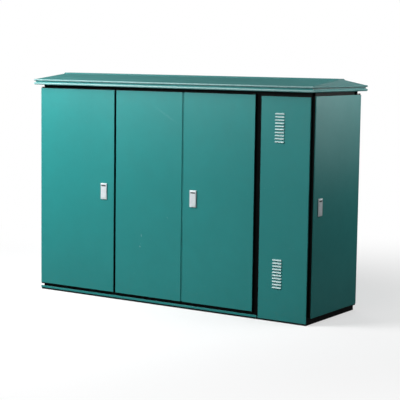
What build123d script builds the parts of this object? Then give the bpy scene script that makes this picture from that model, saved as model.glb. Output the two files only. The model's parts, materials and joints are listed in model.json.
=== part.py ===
from build123d import *
import os, math

# ---------------------------------------------------------------- sizes (mm)
# Row frame: origin at the middle of the footprint on the ground, +Z up,
# front with the three tall doors faces -Y, single service door faces +X.
FX = 1360.0          # frame half width (X)
FY = 395.0           # frame half depth (Y)
GAP = 8.0            # air gap between frame face and door back
DT = 27.0            # door leaf thickness
YB = -(FY + GAP)     # back plane of the front doors
YF = YB - DT         # outer face of the front doors
XB = FX + GAP        # back plane of the side door
XF = XB + DT         # outer face of the side door
POST = 58.0          # square post size
WALL = 3.0           # tube wall
Z_DOOR0, Z_DOOR1 = 59.0, 1820.0      # door leaf bottom and top
Z_LP0, Z_LP1 = 14.0, 1812.0          # fixed louvre panel bottom and top
Z_RAIL = 90.0        # top of the base channels
Z_HEAD0, Z_HEAD1 = 1790.0, 1850.0    # header rails
D1 = (-1368.0, -548.5)               # door 1, X from, to
D2 = (-526.0, 161.0)                 # door 2
D3 = (177.0, 865.0)                  # door 3
LP = (923.0, 1367.0)                 # louvre panel
SD = (-390.0, 394.0)                 # side door, Y from, to
EAX, EAY = 1413.0, 477.0             # eave half sizes
Z_EV0, Z_EV1, Z_EV2, Z_EV3 = 1850.0, 1870.5, 1882.5, 1899.5
Z_RIDGE = 1952.0
RIDGE_HALF = 42.0
SHEET = 2.0
LIP = 8.0            # folded lip of a door skin
RING = 30.0          # width of the welded inner frame of a leaf
PIN_R = 6.0          # pivot pin radius
PIN_C = 0.08         # running clearance of the pivots
HX, HY = 12.0, 12.5  # pivot axis from the hinge edge and from the outer face
LOCK_Z = 940.0       # lock centre height
LOCK_W, LOCK_H = 64.0, 140.0
LV_PITCH = 24.8      # louvre pitch
LV_X, LV_W = 1095.0, 82.0
LV_Z = (1565.5, 392.5)
CX = (-185.0, 165.0, 515.0)          # winding centres
GR = 42.0            # bore radius of the high-voltage grommets
GL = 30.0            # bore radius of the low-voltage grommets

os.makedirs("parts", exist_ok=True)


def bx(x0, x1, y0, y1, z0, z1):
    return Pos((x0 + x1) / 2, (y0 + y1) / 2, (z0 + z1) / 2) * Box(abs(x1 - x0), abs(y1 - y0), abs(z1 - z0))


def cyl(x, y, z0, z1, r):
    return Pos(x, y, (z0 + z1) / 2) * Cylinder(r, abs(z1 - z0))


def cyl_x(x0, x1, y, z, r):
    return Pos((x0 + x1) / 2, y, z) * Rot(0, 90, 0) * Cylinder(r, abs(x1 - x0))


def cyl_y(x, y0, y1, z, r):
    return Pos(x, (y0 + y1) / 2, z) * Rot(90, 0, 0) * Cylinder(r, abs(y1 - y0))


def prism_x(pts, x0, x1):
    """closed polygon of (y, z) points, extruded from x0 to x1"""
    face = make_face(Polyline(*[(0, p[0], p[1]) for p in pts], close=True))
    return Pos(x0, 0, 0) * extrude(face, amount=x1 - x0, dir=(1, 0, 0))


def hexhead(x, y, z0, z1, af):
    return Pos(x, y, z0) * extrude(RegularPolygon(af / 2 / math.cos(math.pi / 6), 6), amount=z1 - z0)


def save(name, *solids):
    flat = []
    for s in solids:
        flat += list(s.solids())
    shape = flat[0] if len(flat) == 1 else Compound(children=flat)
    export_step(shape, "parts/" + name + ".step")


# ---------------------------------------------------------------- base
def channel(x0, x1, y0, y1, z0, z1, open_to):
    """steel channel bar, open towards one side, 5 mm thick"""
    t = 5.0
    s = bx(x0, x1, y0, y1, z0, z1)
    if open_to == "+y":
        s -= bx(x0, x1, y0 + t, y1, z0 + t, z1 - t)
    if open_to == "-y":
        s -= bx(x0, x1, y0, y1 - t, z0 + t, z1 - t)
    if open_to == "+x":
        s -= bx(x0 + t, x1, y0, y1, z0 + t, z1 - t)
    if open_to == "-x":
        s -= bx(x0, x1 - t, y0, y1, z0 + t, z1 - t)
    return s


yi = FY - POST
base = [
    channel(-FX, FX, -FY, -yi, 0, Z_RAIL, "+y"),
    channel(-FX, FX, yi, FY, 0, Z_RAIL, "-y"),
    channel(-FX, -FX + POST, -yi, yi, 0, Z_RAIL, "+x"),
    channel(FX - POST, FX, -yi, yi, 0, Z_RAIL, "-x"),
]
for xc in (-537.0, -120.0, 420.0, 877.0):
    base.append(channel(xc - 25, xc + 25, -yi, yi, 0, 82, "+x"))
# low skirt bar under the front, set just behind the face of the doors
base.append(bx(-FX - 4, FX + 5, YF + 3, -FY, 0, 13))
base.append(bx(FX, FX + 5, -FY, FY + 12, 0, 46))
# foot plates with the anchor holes, welded inside the corners
FOOT_X, FOOT_Y, FOOT_R = 1230.0, 302.0, 9.0
feet = []
for sx in (-1, 1):
    for sy in (-1, 1):
        p = bx(sx * 1160, sx * (FX - POST), sy * 267, sy * yi, 0, 8)
        feet.append(p - cyl(sx * FOOT_X, sy * FOOT_Y, -1, 9, FOOT_R))
save("base_channels", *base, *feet)

zf0, zf1 = 87.0, 90.0
xi = FX - POST
floor = [
    bx(-xi, -1105, -yi, yi, zf0, zf1), bx(-795, -512, -yi, yi, zf0, zf1),
    bx(-512, 852, -yi, yi, zf0, zf1),
    bx(852, 1083, -yi, yi, zf0, zf1), bx(1277, xi, -yi, yi, zf0, zf1),
]
save("floor_plates", *floor)

HVG = ((-950.0, -120.0), (-950.0, 120.0))
LVG = ((1180.0, -210.0), (1180.0, -70.0), (1180.0, 70.0), (1180.0, 210.0))
hv_gl = bx(-1105, -795, -yi, yi, zf0, zf1)
for (x, y) in HVG:
    hv_gl -= cyl(x, y, zf0 - 1, zf1 + 1, GR + 8)
lv_gl = bx(1083, 1277, -yi, yi, zf0, zf1)
for (x, y) in LVG:
    lv_gl -= cyl(x, y, zf0 - 1, zf1 + 1, GL + 8)
save("gland_plates", hv_gl, lv_gl)


def grommet(x, y, r):
    g = cyl(x, y, zf0 - 5, zf1 + 5, r + 7.9) + cyl(x, y, zf1, zf1 + 5, r + 15) + cyl(x, y, zf0 - 5, zf0, r + 15)
    return g - cyl(x, y, zf0 - 6, zf1 + 6, r)


save("cable_grommets", *[grommet(x, y, GR) for (x, y) in HVG], *[grommet(x, y, GL) for (x, y) in LVG])

# ---------------------------------------------------------------- posts and headers
def post(x0, x1, y0, y1):
    s = bx(x0, x1, y0, y1, Z_RAIL, Z_HEAD0)
    return s - bx(x0 + WALL, x1 - WALL, y0 + WALL, y1 - WALL, Z_RAIL, Z_HEAD0)


XM1 = (-575.0, -499.0)      # post between doors 1 and 2
XM2 = (829.0, 925.0)        # post between door 3 and the louvre panel
posts = []
for (a, b) in ((-FX, -FX + POST), XM1, XM2, (FX - POST, FX)):
    posts.append(post(a, b, -FY, -yi))
    posts.append(post(a, b, yi, FY))


def header(x0, x1, y0, y1, along):
    s = bx(x0, x1, y0, y1, Z_HEAD0, Z_HEAD1)
    if along == "x":
        return s - bx(x0, x1, y0 + WALL, y1 - WALL, Z_HEAD0 + WALL, Z_HEAD1 - WALL)
    return s - bx(x0 + WALL, x1 - WALL, y0, y1, Z_HEAD0 + WALL, Z_HEAD1 - WALL)


heads = [header(-FX, FX, -FY, -yi, "x"), header(-FX, FX, yi, FY, "x"),
         header(-FX, -FX + POST, -yi, yi, "y"), header(FX - POST, FX, -yi, yi, "y")]

# ---------------------------------------------------------------- fixed panels
def tray(x0, x1, z0, z1, depth, cuts=()):
    """folded sheet, outer face on y = 0, lips going to y = depth"""
    s = bx(x0, x1, 0, depth, z0, z1)
    s = fillet(s.faces().sort_by(Axis.Y)[0].edges(), 1.6)
    s -= bx(x0 + SHEET, x1 - SHEET, SHEET, depth + 1, z0 + SHEET, z1 - SHEET)
    for c in cuts:
        s -= c
    return s


screws = []          # dome headed screws: (x, y, z, axis)


def screw(x, y, z, axis):
    """dome head and shank; the head stands on the face, the shank goes 14 mm in"""
    s = Cylinder(7.5, 2.2) + Pos(0, 0, 1.1) * (Cylinder(5.4, 2.6, align=(Align.CENTER, Align.CENTER, Align.MIN)))
    s = Pos(0, 0, 1.1) * s
    s -= Pos(0, 0, 3.0) * extrude(RegularPolygon(2.6, 6), amount=3)
    s += Pos(0, 0, -14) * Cylinder(3.0, 14, align=(Align.CENTER, Align.CENTER, Align.MIN))
    if axis == "+y":
        s = Rot(-90, 0, 0) * s
    if axis == "-x":
        s = Rot(0, -90, 0) * s
    if axis == "-y":
        s = Rot(90, 0, 0) * s
    return Pos(x, y, z) * s


# rear panels: three plain folded sheets screwed to the rear of the frame
RP = ((-1368.0, -543.0), (-531.0, 871.0), (883.0, 1368.0))
PT = 14.0            # fixed pan depth at the back and left
rear = []
hole_tools_post = []
for (a, b) in RP:
    p = Pos((a + b) / 2, FY + PT, 0) * (Rot(0, 0, 180) * tray(-(b - a) / 2, (b - a) / 2, Z_DOOR0, Z_DOOR1, PT))
    for z in (75.0, 650.0, 1230.0, 1804.0):
        for x in (a + 28, b - 28):
            p -= cyl_y(x, FY - 1, FY + PT + 1, z, 3.2)
            screws.append(screw(x, FY + PT, z, "+y"))
    if b - a > 1000:
        for z in (75.0, 1804.0):
            p -= cyl_y((a + b) / 2, FY - 1, FY + PT + 1, z, 3.2)
            screws.append(screw((a + b) / 2, FY + PT, z, "+y"))
    rear.append(p)
save("rear_panels", *rear)

lp_w = (-388.0, 394.0)
lep = Pos(-FX - PT, (lp_w[0] + lp_w[1]) / 2, 0) * (Rot(0, 0, -90) * tray(-391, 391, Z_DOOR0, Z_DOOR1, PT))
for z in (75.0, 650.0, 1230.0, 1804.0):
    for y in (lp_w[0] + 28, lp_w[1] - 28):
        lep -= cyl_x(-FX - PT - 1, -FX + 1, y, z, 3.2)
        screws.append(screw(-FX - PT, y, z, "-x"))
save("left_end_panel", lep)

# louvre panel: pressed hoods, open at the bottom, in two groups of ten
def hood_out(z):
    return prism_x([(0.5, z + 7.5), (-0.6, z + 7.5), (-7.5, z - 4.2), (-7.5, z - 5.4), (0.5, z - 5.4)],
                   LV_X - LV_W / 2, LV_X + LV_W / 2)


def hood_in(z):
    return prism_x([(3.0, z + 4.9), (0.0, z + 4.9), (-5.9, z - 5.0), (-5.9, z - 6.0), (3.0, z - 6.0)],
                   LV_X - LV_W / 2 + 1.6, LV_X + LV_W / 2 - 1.6)


louvre = tray(LP[0], LP[1], Z_LP0, Z_LP1, LIP)
zl = [zc + (4.5 - i) * LV_PITCH for zc in LV_Z for i in range(10)]
for z in zl:
    louvre = louvre + hood_out(z)
for z in zl:
    louvre = louvre - hood_in(z)
save("louvre_panel", Pos(0, YF, 0) * louvre)

screens = []
for zc in LV_Z:
    screens.append(bx(LV_X - 58, LV_X + 58, YF + SHEET, YF + SHEET + 1.0, zc - 142, zc + 142)
                   - bx(LV_X - 43, LV_X + 43, YF, YF + 10, zc - 126, zc + 126)
                   + bx(LV_X - 46, LV_X + 46, YF + SHEET + 0.2, YF + SHEET + 0.8, zc - 128, zc + 128))
save("insect_screens", *screens)

# black bars behind the rim of the louvre panel
la0, la1, lb0, lb1 = LP[0] + 1, LP[1] - 1, Z_LP0 + 1, Z_LP1 - 1
back = [bx(la0, la0 + RING, YF + LIP, -FY, lb0, lb1), bx(la1 - RING, la1, YF + LIP, -FY, lb0, lb1),
        bx(la0 + RING, la1 - RING, YF + LIP, -FY, lb0, lb0 + 80), bx(la0 + RING, la1 - RING, YF + LIP, -FY, lb1 - RING, lb1)]
save("louvre_panel_backing", *back)

# ---------------------------------------------------------------- door leaves
def leaf(w, z0, z1, hinge, lock_x=None):
    """skin and welded inner frame of a door, outer face y = 0, back y = DT, x from 0 to w"""
    skin = tray(0, w, z0, z1, LIP)
    if lock_x is not None:
        skin -= bx(lock_x - 25.6, lock_x + 25.6, -1, 5, LOCK_Z - 60.6, LOCK_Z + 60.6)
    # welded inner frame: two stiles, two rails, two hat shaped stiffeners
    stiles = {"L": bx(1, RING, LIP, DT, z0 + 1, z1 - 1), "R": bx(w - RING, w - 1, LIP, DT, z0 + 1, z1 - 1)}
    bars = [bx(RING, w - RING, LIP, DT, z0 + 1, z0 + RING), bx(RING, w - RING, LIP, DT, z1 - RING, z1 - 1)]
    for z in (z0 + 560, z0 + 1200):
        hat = bx(RING, w - RING, SHEET, 20, z - 35, z + 35)
        hat -= bx(RING, w - RING, SHEET, 18, z - 15, z + 15)
        hat -= bx(RING, w - RING, SHEET + 2, 21, z - 36, z - 17)
        hat -= bx(RING, w - RING, SHEET + 2, 21, z + 17, z + 36)
        bars.append(hat)
    # pivot pins at the hinge corners
    hx = HX if hinge == "L" else w - HX
    stiles[hinge] += cyl(hx, HY, z1 - 20, z1 + 11, PIN_R)
    stiles[hinge] += cyl(hx, HY, z0 - 11, z0 + 20, PIN_R)
    # the pin passes the sheet lips at the top and the bottom
    skin -= cyl(hx, HY, z0 - 5, z1 + 5, PIN_R + 0.4)
    return skin, [stiles["L"], stiles["R"]] + bars


def place_front(s, x0):
    return Pos(x0, YF, 0) * s


def place_side(s):
    return Pos(XF, SD[0], 0) * (Rot(0, 0, 90) * s)


w1, w2, w3, ws = D1[1] - D1[0], D2[1] - D2[0], D3[1] - D3[0], SD[1] - SD[0]
L1, L3, LS = 715.5, 103.5, 97.0
s1, r1 = leaf(w1, Z_DOOR0, Z_DOOR1, "L", L1)
s2, r2 = leaf(w2, Z_DOOR0, Z_DOOR1, "L")
s3, r3 = leaf(w3, Z_DOOR0, Z_DOOR1, "R", L3)
ss, rs = leaf(ws, Z_DOOR0 - 2, Z_DOOR1, "R", LS)

# door 2 carries the meeting strip, the strike for the latch of door 3 and the bolt guides
BX, BY = 130.0 - D2[0], -385.0 - YF     # shoot bolt axis in the leaf frame
s2_strip = bx(w2 - 1, w2 + 11, 6, 8, Z_DOOR0 + 4, Z_DOOR1 - 4)
r2.append(bx(w2 - 25, w2, DT, 39, LOCK_Z - 25, LOCK_Z + 25))
for z in (1600.0, 1700.0, 160.0, 260.0):
    g = bx(BX - 13, BX + 13, DT, 56, z, z + 20)
    g -= cyl(BX, BY, z - 1, z + 21, 6.08)
    r2.append(g)

save("door_1_skin", place_front(s1, D1[0]))
save("door_1_inner_frame", *[place_front(q, D1[0]) for q in r1])
save("door_2_skin", place_front(s2 + s2_strip, D2[0]))
save("door_2_inner_frame", *[place_front(q, D2[0]) for q in r2])
save("door_3_skin", place_front(s3, D3[0]))
save("door_3_inner_frame", *[place_front(q, D3[0]) for q in r3])
save("side_door_skin", place_side(ss))
save("side_door_inner_frame", *[place_side(q) for q in rs])

# shoot bolts of door 2, stored withdrawn
tb = cyl(BX, BY, 1560, 1755, 6.0) + cyl_y(BX, BY, BY + 26, 1660, 4.0) + cyl_y(BX, BY + 22, BY + 32, 1660, 9.0)
bb = cyl(BX, BY, 125, 320, 6.0) + cyl_y(BX, BY, BY + 26, 220, 4.0) + cyl_y(BX, BY + 22, BY + 32, 220, 9.0)
tb = tb - (cyl(BX, BY, 1750, 1756, 7) - cyl(BX, BY, 1749, 1757, 5.2))
bb = bb - (cyl(BX, BY, 124, 130, 7) - cyl(BX, BY, 123, 131, 5.2))
save("door_2_top_bolt", place_front(tb, D2[0]))
save("door_2_bottom_bolt", place_front(bb, D2[0]))

# hinge brackets: plates with a bored eye above and below each leaf
hb = []


def bracket_front(ax, z0, z1):
    s = bx(ax - 14, ax + 14, YF + 3, -FY, z0, z1)
    return s - cyl(ax, YF + HY, z0 - 1, z1 + 1, PIN_R + PIN_C)


for ax in (D1[0] + HX, D2[0] + HX, D3[1] - HX):
    hb.append(bracket_front(max(ax, -FX + 14), 1823, 1829) if ax > -FX + 13 else
              (bx(-FX - 6, ax + 16, YF + 3, -FY, 1823, 1829) - cyl(ax, YF + HY, 1820, 1832, PIN_R + PIN_C)))
    hb.append((bx(ax - 12, ax + 16, YF + 3, -FY, 50, 56) if ax < -FX + 13 else bx(ax - 14, ax + 14, YF + 3, -FY, 50, 56))
              - cyl(ax, YF + HY, 49, 57, PIN_R + PIN_C))
ay = SD[1] - HX
for (z0, z1) in ((1823, 1829), (48, 54)):
    x_in = FX if z0 > 1000 else FX + 5
    hb.append(bx(x_in, XF - 3, ay - 14, ay + 10, z0, z1) - cyl(XF - HY, ay, z0 - 1, z1 + 1, PIN_R + PIN_C))
save("hinge_brackets", *hb)

# ---------------------------------------------------------------- locks
def lock(tip, side):
    """flush lever lock, centre on the outer face of the leaf, inside is +y.
    tip: how far the latch reaches, side: +1 latch towards +x, -1 towards -x"""
    h = bx(-32, 32, -9, 0, -70, 70)
    h = fillet(h.faces().sort_by(Axis.Y)[0].edges(), 1.5)
    h += bx(-25, 25, 0, 40, -60, 60)
    h -= bx(-27, 27, -10, -0.5, -63, 66)
    h -= cyl_x(-30.4, 30.4, -6.5, -57, 2.58)
    h -= cyl_y(0, -1, 41, 54.0, 5.08)
    h -= bx(-18, 18, 12, 41, -50, 40)
    h += bx(-25, 25, 34, 50, -16, 16)
    h -= bx(-40, 40, 40.7, 46.3, -10.3, 10.3)
    # lever: plate with a rounded foot and two trunnions
    lv = bx(-26.5, 26.5, -12, -2, -57, 43.5)
    lv = fillet(lv.edges().filter_by(Axis.Z).group_by(Axis.Y)[0], 1.2)
    lv += cyl_x(-26.5, 26.5, -6.5, -57, 5.5)
    lv += cyl_x(-30, 30, -6.5, -57, 2.5)
    lv -= bx(-20, 20, -6, -1, -40, 36)
    # button with its stem and a key cylinder
    b = bx(-26.6, 26.6, -11, -4.2, 49, 65.6)
    b = fillet(b.faces().sort_by(Axis.Y)[0].edges(), 0.8)
    b += cyl_y(0, -4.2, 34, 54.0, 5.0)
    b -= cyl_y(0, -12, -10.2, 57.3, 5.2)
    b += cyl_y(0, -10.8, -10.0, 57.3, 4.6)
    b -= bx(-0.7, 0.7, -11, -9.4, 54.2, 60.4)
    x0, x1 = (-34, tip) if side > 0 else (-tip, 34)
    la = bx(x0, x1, 41, 46, -10, 10)
    return h, lv, b, la


def place_lock_front(s, cx):
    return Pos(cx, YF, LOCK_Z) * s


def place_lock_side(s, cy):
    return Pos(XF, cy, LOCK_Z) * (Rot(0, 0, 90) * s)


TIP1, TIP3, TIPS = 61.0, 117.0, 29.0
for name, tip, side, fn, c in (("door_1", TIP1, 1, place_lock_front, D1[0] + L1),
                               ("door_3", TIP3, -1, place_lock_front, D3[0] + L3),
                               ("side_door", TIPS, -1, place_lock_side, SD[0] + LS)):
    h, lv, b, la = lock(tip, side)
    save(name + "_lock_housing", fn(h, c))
    save(name + "_lock_lever", fn(lv, c))
    save(name + "_lock_button", fn(b, c))
    save(name + "_latch", fn(la, c))

keep = [bx(-588, XM1[0], -FY, -FY + 4, LOCK_Z - 25, LOCK_Z + 25),
        bx(FX - 4, FX, -yi, -324, LOCK_Z - 25, LOCK_Z + 25),
        bx(116, 144, -396, -392, 1760, Z_HEAD0), bx(116, 144, -378, -374, 1760, Z_HEAD0),
        bx(116, 144, -396, -392, Z_RAIL, 120), bx(116, 144, -378, -374, Z_RAIL, 120)]
save("lock_keepers", *keep)

# ---------------------------------------------------------------- gaskets on the frame
gk = []


def gasket(x0, x1, z0, z1):
    g = 5.0
    w = 12.0
    return [bx(x0 - w, x0, -FY - g, -FY, z0 - w, z1 + w), bx(x1, x1 + w, -FY - g, -FY, z0 - w, z1 + w),
            bx(x0, x1, -FY - g, -FY, z0 - w, z0), bx(x0, x1, -FY - g, -FY, z1, z1 + w)]


gk += gasket(-FX + POST, XM1[0], Z_RAIL, Z_HEAD0)
gk += gasket(XM1[1] + 14, XM2[0], Z_RAIL, Z_HEAD0)
for (y0, y1, z0, z1) in ((-yi - 12, -yi, Z_RAIL - 12, Z_HEAD0 + 12), (yi, yi + 12, Z_RAIL - 12, Z_HEAD0 + 12),
                         (-yi, yi, Z_RAIL - 12, Z_RAIL), (-yi, yi, Z_HEAD0, Z_HEAD0 + 12)):
    gk.append(bx(FX, FX + 5, y0, y1, z0, z1))
save("frame_gaskets", *gk)

# green sill strip below the doors
sill = bx(D1[0], LP[0] - 14, YF, YF + 2, 15, 31) + bx(D1[0], LP[0] - 14, YF, -FY, 15, 17) \
    + bx(D1[0], LP[0] - 14, YF, YF + 12, 29, 31)
save("sill_strip", sill)

# ---------------------------------------------------------------- roof
t = 2.5
GI = 5.0             # the gable faces stand this far inside the rolled lips
gd = 13.0            # groove depth between the two lips


def bead(x0, x1, y, z0, z1, depth):
    """rolled lip along X with its nose at -y: a half round front of the full height, hollow behind"""
    r = (z1 - z0) / 2 - 0.2
    o = bx(x0, x1, y, y + depth, z0, z1)
    o = fillet(o.edges().filter_by(Axis.X).group_by(Axis.Y)[0], r)
    i = bx(x0 - 1, x1 + 1, y + t, y + depth + 1, z0 + t, z1 - t)
    i = fillet(i.edges().filter_by(Axis.X).group_by(Axis.Y)[0], r - t)
    return o - i


def mitred(s, x, y):
    """cut a long lip back at 45 degrees at both ends, outer corner at (+-x, -y)"""
    big = 200.0
    for k in (-1, 1):
        tri = extrude(make_face(Polyline((k * x, -y, 1700), (k * (x + 1), -y, 1700), (k * (x + 1), -y + big, 1700),
                                         (k * (x - big), -y + big, 1700), close=True)), amount=400, dir=(0, 0, 1))
        s -= tri
    return s


bd_l = bead(-EAX, EAX, -EAY, Z_EV2, Z_EV3, gd + t)
bd_l = mitred(bd_l, EAX, EAY)
bd_s = Rot(0, 0, 90) * mitred(bead(-EAY, EAY, -EAX, Z_EV2, Z_EV3, gd + t), EAY, EAX)
z_in = Z_EV3 - 1.9   # edge of the roof slope, a little below the crown of the lip
slope = (Z_RIDGE - z_in) / (EAY - 9)
outer = [(-EAY + 9, z_in), (0, Z_RIDGE), (EAY - 9, z_in)]
inner = [(EAY - 9, z_in - t), (0, Z_RIDGE - t), (-EAY + 9, z_in - t)]
roof = prism_x(outer + inner, -EAX + GI, EAX - GI)
gab = [(-EAY + 9, z_in - t), (-EAY + 9, z_in), (0, Z_RIDGE), (EAY - 9, z_in), (EAY - 9, z_in - t)]
roof += prism_x(gab, -EAX + GI, -EAX + GI + t)
roof += prism_x(gab, EAX - GI - t, EAX - GI)
for k in (bd_l, Rot(0, 0, 180) * bd_l, bd_s, Rot(0, 0, 180) * bd_s):
    roof += k
save("roof_sheet", roof)
zr = Z_RIDGE - slope * 55
cap = prism_x([(-55, zr), (-55, zr + t), (-RIDGE_HALF, Z_RIDGE + 3.0), (RIDGE_HALF, Z_RIDGE + 3.0), (55, zr + t), (55, zr),
               (0, Z_RIDGE)], -EAX + GI - 3, EAX - GI + 3)
save("ridge_cap", cap)



def eave_long():
    """front eave section: rolled lip, soffit and the upstand that closes the groove"""
    s = mitred(bead(-EAX, EAX, -EAY, Z_EV0, Z_EV1, gd + t), EAX, EAY)
    s += bx(-EAX + gd, EAX - gd, -EAY + gd, -EAY + gd + t, Z_EV1, Z_EV2)
    s += bx(-EAX + gd + t, EAX - gd - t, -EAY + gd, -yi, Z_EV0, Z_EV0 + t)
    return s


def eave_end():
    """the same section along the short ends, between the long ones"""
    s = Rot(0, 0, 90) * mitred(bead(-EAY, EAY, -EAX, Z_EV0, Z_EV1, gd + t), EAY, EAX)
    y0, y1 = -EAY + gd + t, EAY - gd - t
    s += bx(EAX - gd - t, EAX - gd, y0, y1, Z_EV1, Z_EV2)
    s += bx(EAX - 111, EAX - gd, -yi, yi, Z_EV0, Z_EV0 + t)
    return s


el, ee = eave_long(), eave_end()
save("eave_tray", el, Rot(0, 0, 180) * el, ee, Rot(0, 0, 180) * ee)

# ---------------------------------------------------------------- frame screws and posts with their holes
roof_bolts = []
for x in (-1100.0, -300.0, 300.0, 1100.0):
    for y in (-FY + 29, FY - 29):
        roof_bolts.append(hexhead(x, y, Z_HEAD0 - 7, Z_HEAD0, 17) + cyl(x, y, Z_HEAD0, Z_EV0, 5))
heads = [h - Compound(children=[cyl(x, y, Z_HEAD0 - 1, Z_HEAD1 + 1, 5.2) for x in (-1100.0, -300.0, 300.0, 1100.0)
                                 for y in (-FY + 29, FY - 29)]) if i < 2 else h for i, h in enumerate(heads)]
save("frame_posts", *posts)
save("frame_headers", *heads)
save("frame_screws", *screws, *roof_bolts)

# ---------------------------------------------------------------- partitions
LEAD_Y = -142.0
LEAD_Z = (1120.0, 1190.0, 1260.0)
p1 = bx(-541, -539, -yi, yi, Z_RAIL, Z_HEAD0) + bx(-565, -541, -yi, yi, Z_RAIL, Z_RAIL + 2)
for z in LEAD_Z:
    p1 -= cyl_x(-545, -535, LEAD_Y, z, 26.4)
p2 = bx(876, 878, -yi, yi, Z_RAIL, Z_HEAD0) + bx(878, 902, -yi, yi, Z_RAIL, Z_RAIL + 2)
p2 -= bx(870, 880, 70, 130, 1240, 1560)
p2 -= bx(870, 880, -130, -70, 1320, 1380)
save("partitions", p1, p2)

# ---------------------------------------------------------------- high-voltage switch
HX0, HX1, HY0, HY1, HZ0, HZ1 = -1240.0, -660.0, -190.0, 300.0, 420.0, 1500.0
case = bx(HX0, HX1, HY0, HY1, HZ0, HZ1) - bx(HX0 + 3, HX1 - 3, HY0 + 3, HY1 - 3, HZ0 + 3, HZ1 - 3)
HS = ((-950.0, 1150.0), (-950.0, 900.0))
for (x, z) in HS:
    case -= cyl_y(x, HY0 - 1, HY0 + 4, z, 16)
for z in LEAD_Z:
    case -= cyl_x(HX1 - 4, HX1 + 1, LEAD_Y, z, 18)
stand = []
for x in (HX0 + 20, HX1 - 20):
    for y in (HY0 + 20, HY1 - 20):
        stand.append(bx(x - 20, x + 20, y - 20, y + 20, Z_RAIL, HZ0) - bx(x - 16, x + 16, y - 16, y + 16, Z_RAIL - 1, HZ0 + 1))
save("hv_switch_case", case, *stand)
fas = bx(HX0 + 25, HX1 - 25, HY0 - 6, HY0, HZ0 + 240, HZ1 - 30)
fas = fillet(fas.faces().sort_by(Axis.Y)[0].edges(), 1.5)
for (x, z) in HS:
    fas -= cyl_y(x, HY0 - 7, HY0 + 1, z, 14.08)
# raised mimic line, window frames and a rating plate recess left plain
fas += bx(-953, -947, HY0 - 8, HY0 - 6, 1180, 1330) + bx(-953, -947, HY0 - 8, HY0 - 6, 930, 1115)
fas += bx(-1110, -790, HY0 - 8, HY0 - 6, 1330, 1336) + bx(-953, -947, HY0 - 8, HY0 - 6, 700, 868)
for z in (1150.0, 900.0):
    fas += bx(-860, -800, HY0 - 9, HY0 - 6, z - 15, z + 15) - bx(-852, -808, HY0 - 10, HY0 - 7, z - 9, z + 9)
save("hv_switch_fascia", fas)
for i, ((x, z), ln) in enumerate(zip(HS, (150.0, 120.0))):
    h = cyl_y(x, HY0 - 40, HY0 + 10, z, 14.0) + cyl_y(x, HY0 - 40, HY0 - 14, z, 24.0)
    h += bx(x - 9, x + 9, HY0 - 38, HY0 - 24, z - ln, z)
    h += Pos(x, HY0 - 31, z - ln) * Sphere(17)
    save("hv_operating_handle" if i == 0 else "hv_earthing_handle", h)

caps = []
for x in (-1120.0, -950.0, -780.0):
    c = cyl_y(x, HY0 - 34, HY0 - 6.0, 1420 - 12, 34) + cyl_y(x, HY0 - 44, HY0 - 34, 1420 - 12, 26)
    caps.append(c)
    # moulded cable socket with its cone under the tank
    u = cyl(x, -60, HZ0 - 120, HZ0, 30) + cyl(x, -60, HZ0 - 40, HZ0 - 25, 40) + cyl(x, -60, HZ0 - 150, HZ0 - 120, 20)
    caps.append(u)

# ---------------------------------------------------------------- transformer, cast resin, three limbs
CZ0, CZ1 = 330.0, 930.0
core = bx(CX[0] - 70, CX[2] + 70, -65, 65, 190, 310) + bx(CX[0] - 70, CX[2] + 70, -65, 65, 950, 1070)
for x in CX:
    core += cyl(x, 0, 309, 951, 66)
save("transformer_core", core)
lvw, hvw = [], []
for x in CX:
    lvw.append(cyl(x, 0, CZ0 - 8, CZ1 + 8, 112) - cyl(x, 0, CZ0 - 9, CZ1 + 9, 78))
    c = cyl(x, 0, CZ0, CZ1, 162)
    c = fillet(c.edges().filter_by(GeomType.CIRCLE), 10)
    c += bx(x - 40, x + 40, -174, -120, CZ0 + 90, CZ1 - 60)
    c -= cyl(x, 0, CZ0 - 1, CZ1 + 1, 124)
    hvw.append(c)
save("transformer_lv_windings", *lvw)
save("transformer_hv_windings", *hvw)
cl = []
for z in (190.0, 950.0):
    for s in (-1, 1):
        y0, y1 = (66, 90) if s > 0 else (-90, -66)
        c = bx(CX[0] - 110, CX[2] + 110, y0, y1, z + 10, z + 110)
        if s > 0:
            c -= bx(CX[0] - 111, CX[2] + 111, y0 + 6, y1 + 1, z + 16, z + 104)
        else:
            c -= bx(CX[0] - 111, CX[2] + 111, y0 - 1, y1 - 6, z + 16, z + 104)
        cl.append(c)
save("transformer_clamps", *cl)
ft = []
for x in (CX[0] - 60, CX[2] + 60):
    ft.append(bx(x - 30, x + 30, -230, 230, 130, 190) - bx(x - 25, x + 31, -231, 231, 136, 184))
for x in (CX[0] - 60, CX[2] + 60):
    for y in (-190.0, 190.0):
        ft.append(bx(x - 35, x + 35, y - 35, y + 35, Z_RAIL, 130))
save("transformer_feet_and_pads", *ft)
blk = []
for x in CX:
    for s in (-1, 1):
        for (a, b) in ((-62, -32), (32, 62)):
            k = bx(x + a, x + b, s * 68, s * 150, 300, CZ0 - 8) + bx(x + a, x + b, s * 118, s * 150, 300, CZ0)
            blk.append(k)
        k = bx(x + 32, x + 62, s * 68, s * 150, CZ1 + 8, 960) + bx(x + 32, x + 62, s * 118, s * 150, CZ1, 960)
        blk.append(k)

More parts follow.
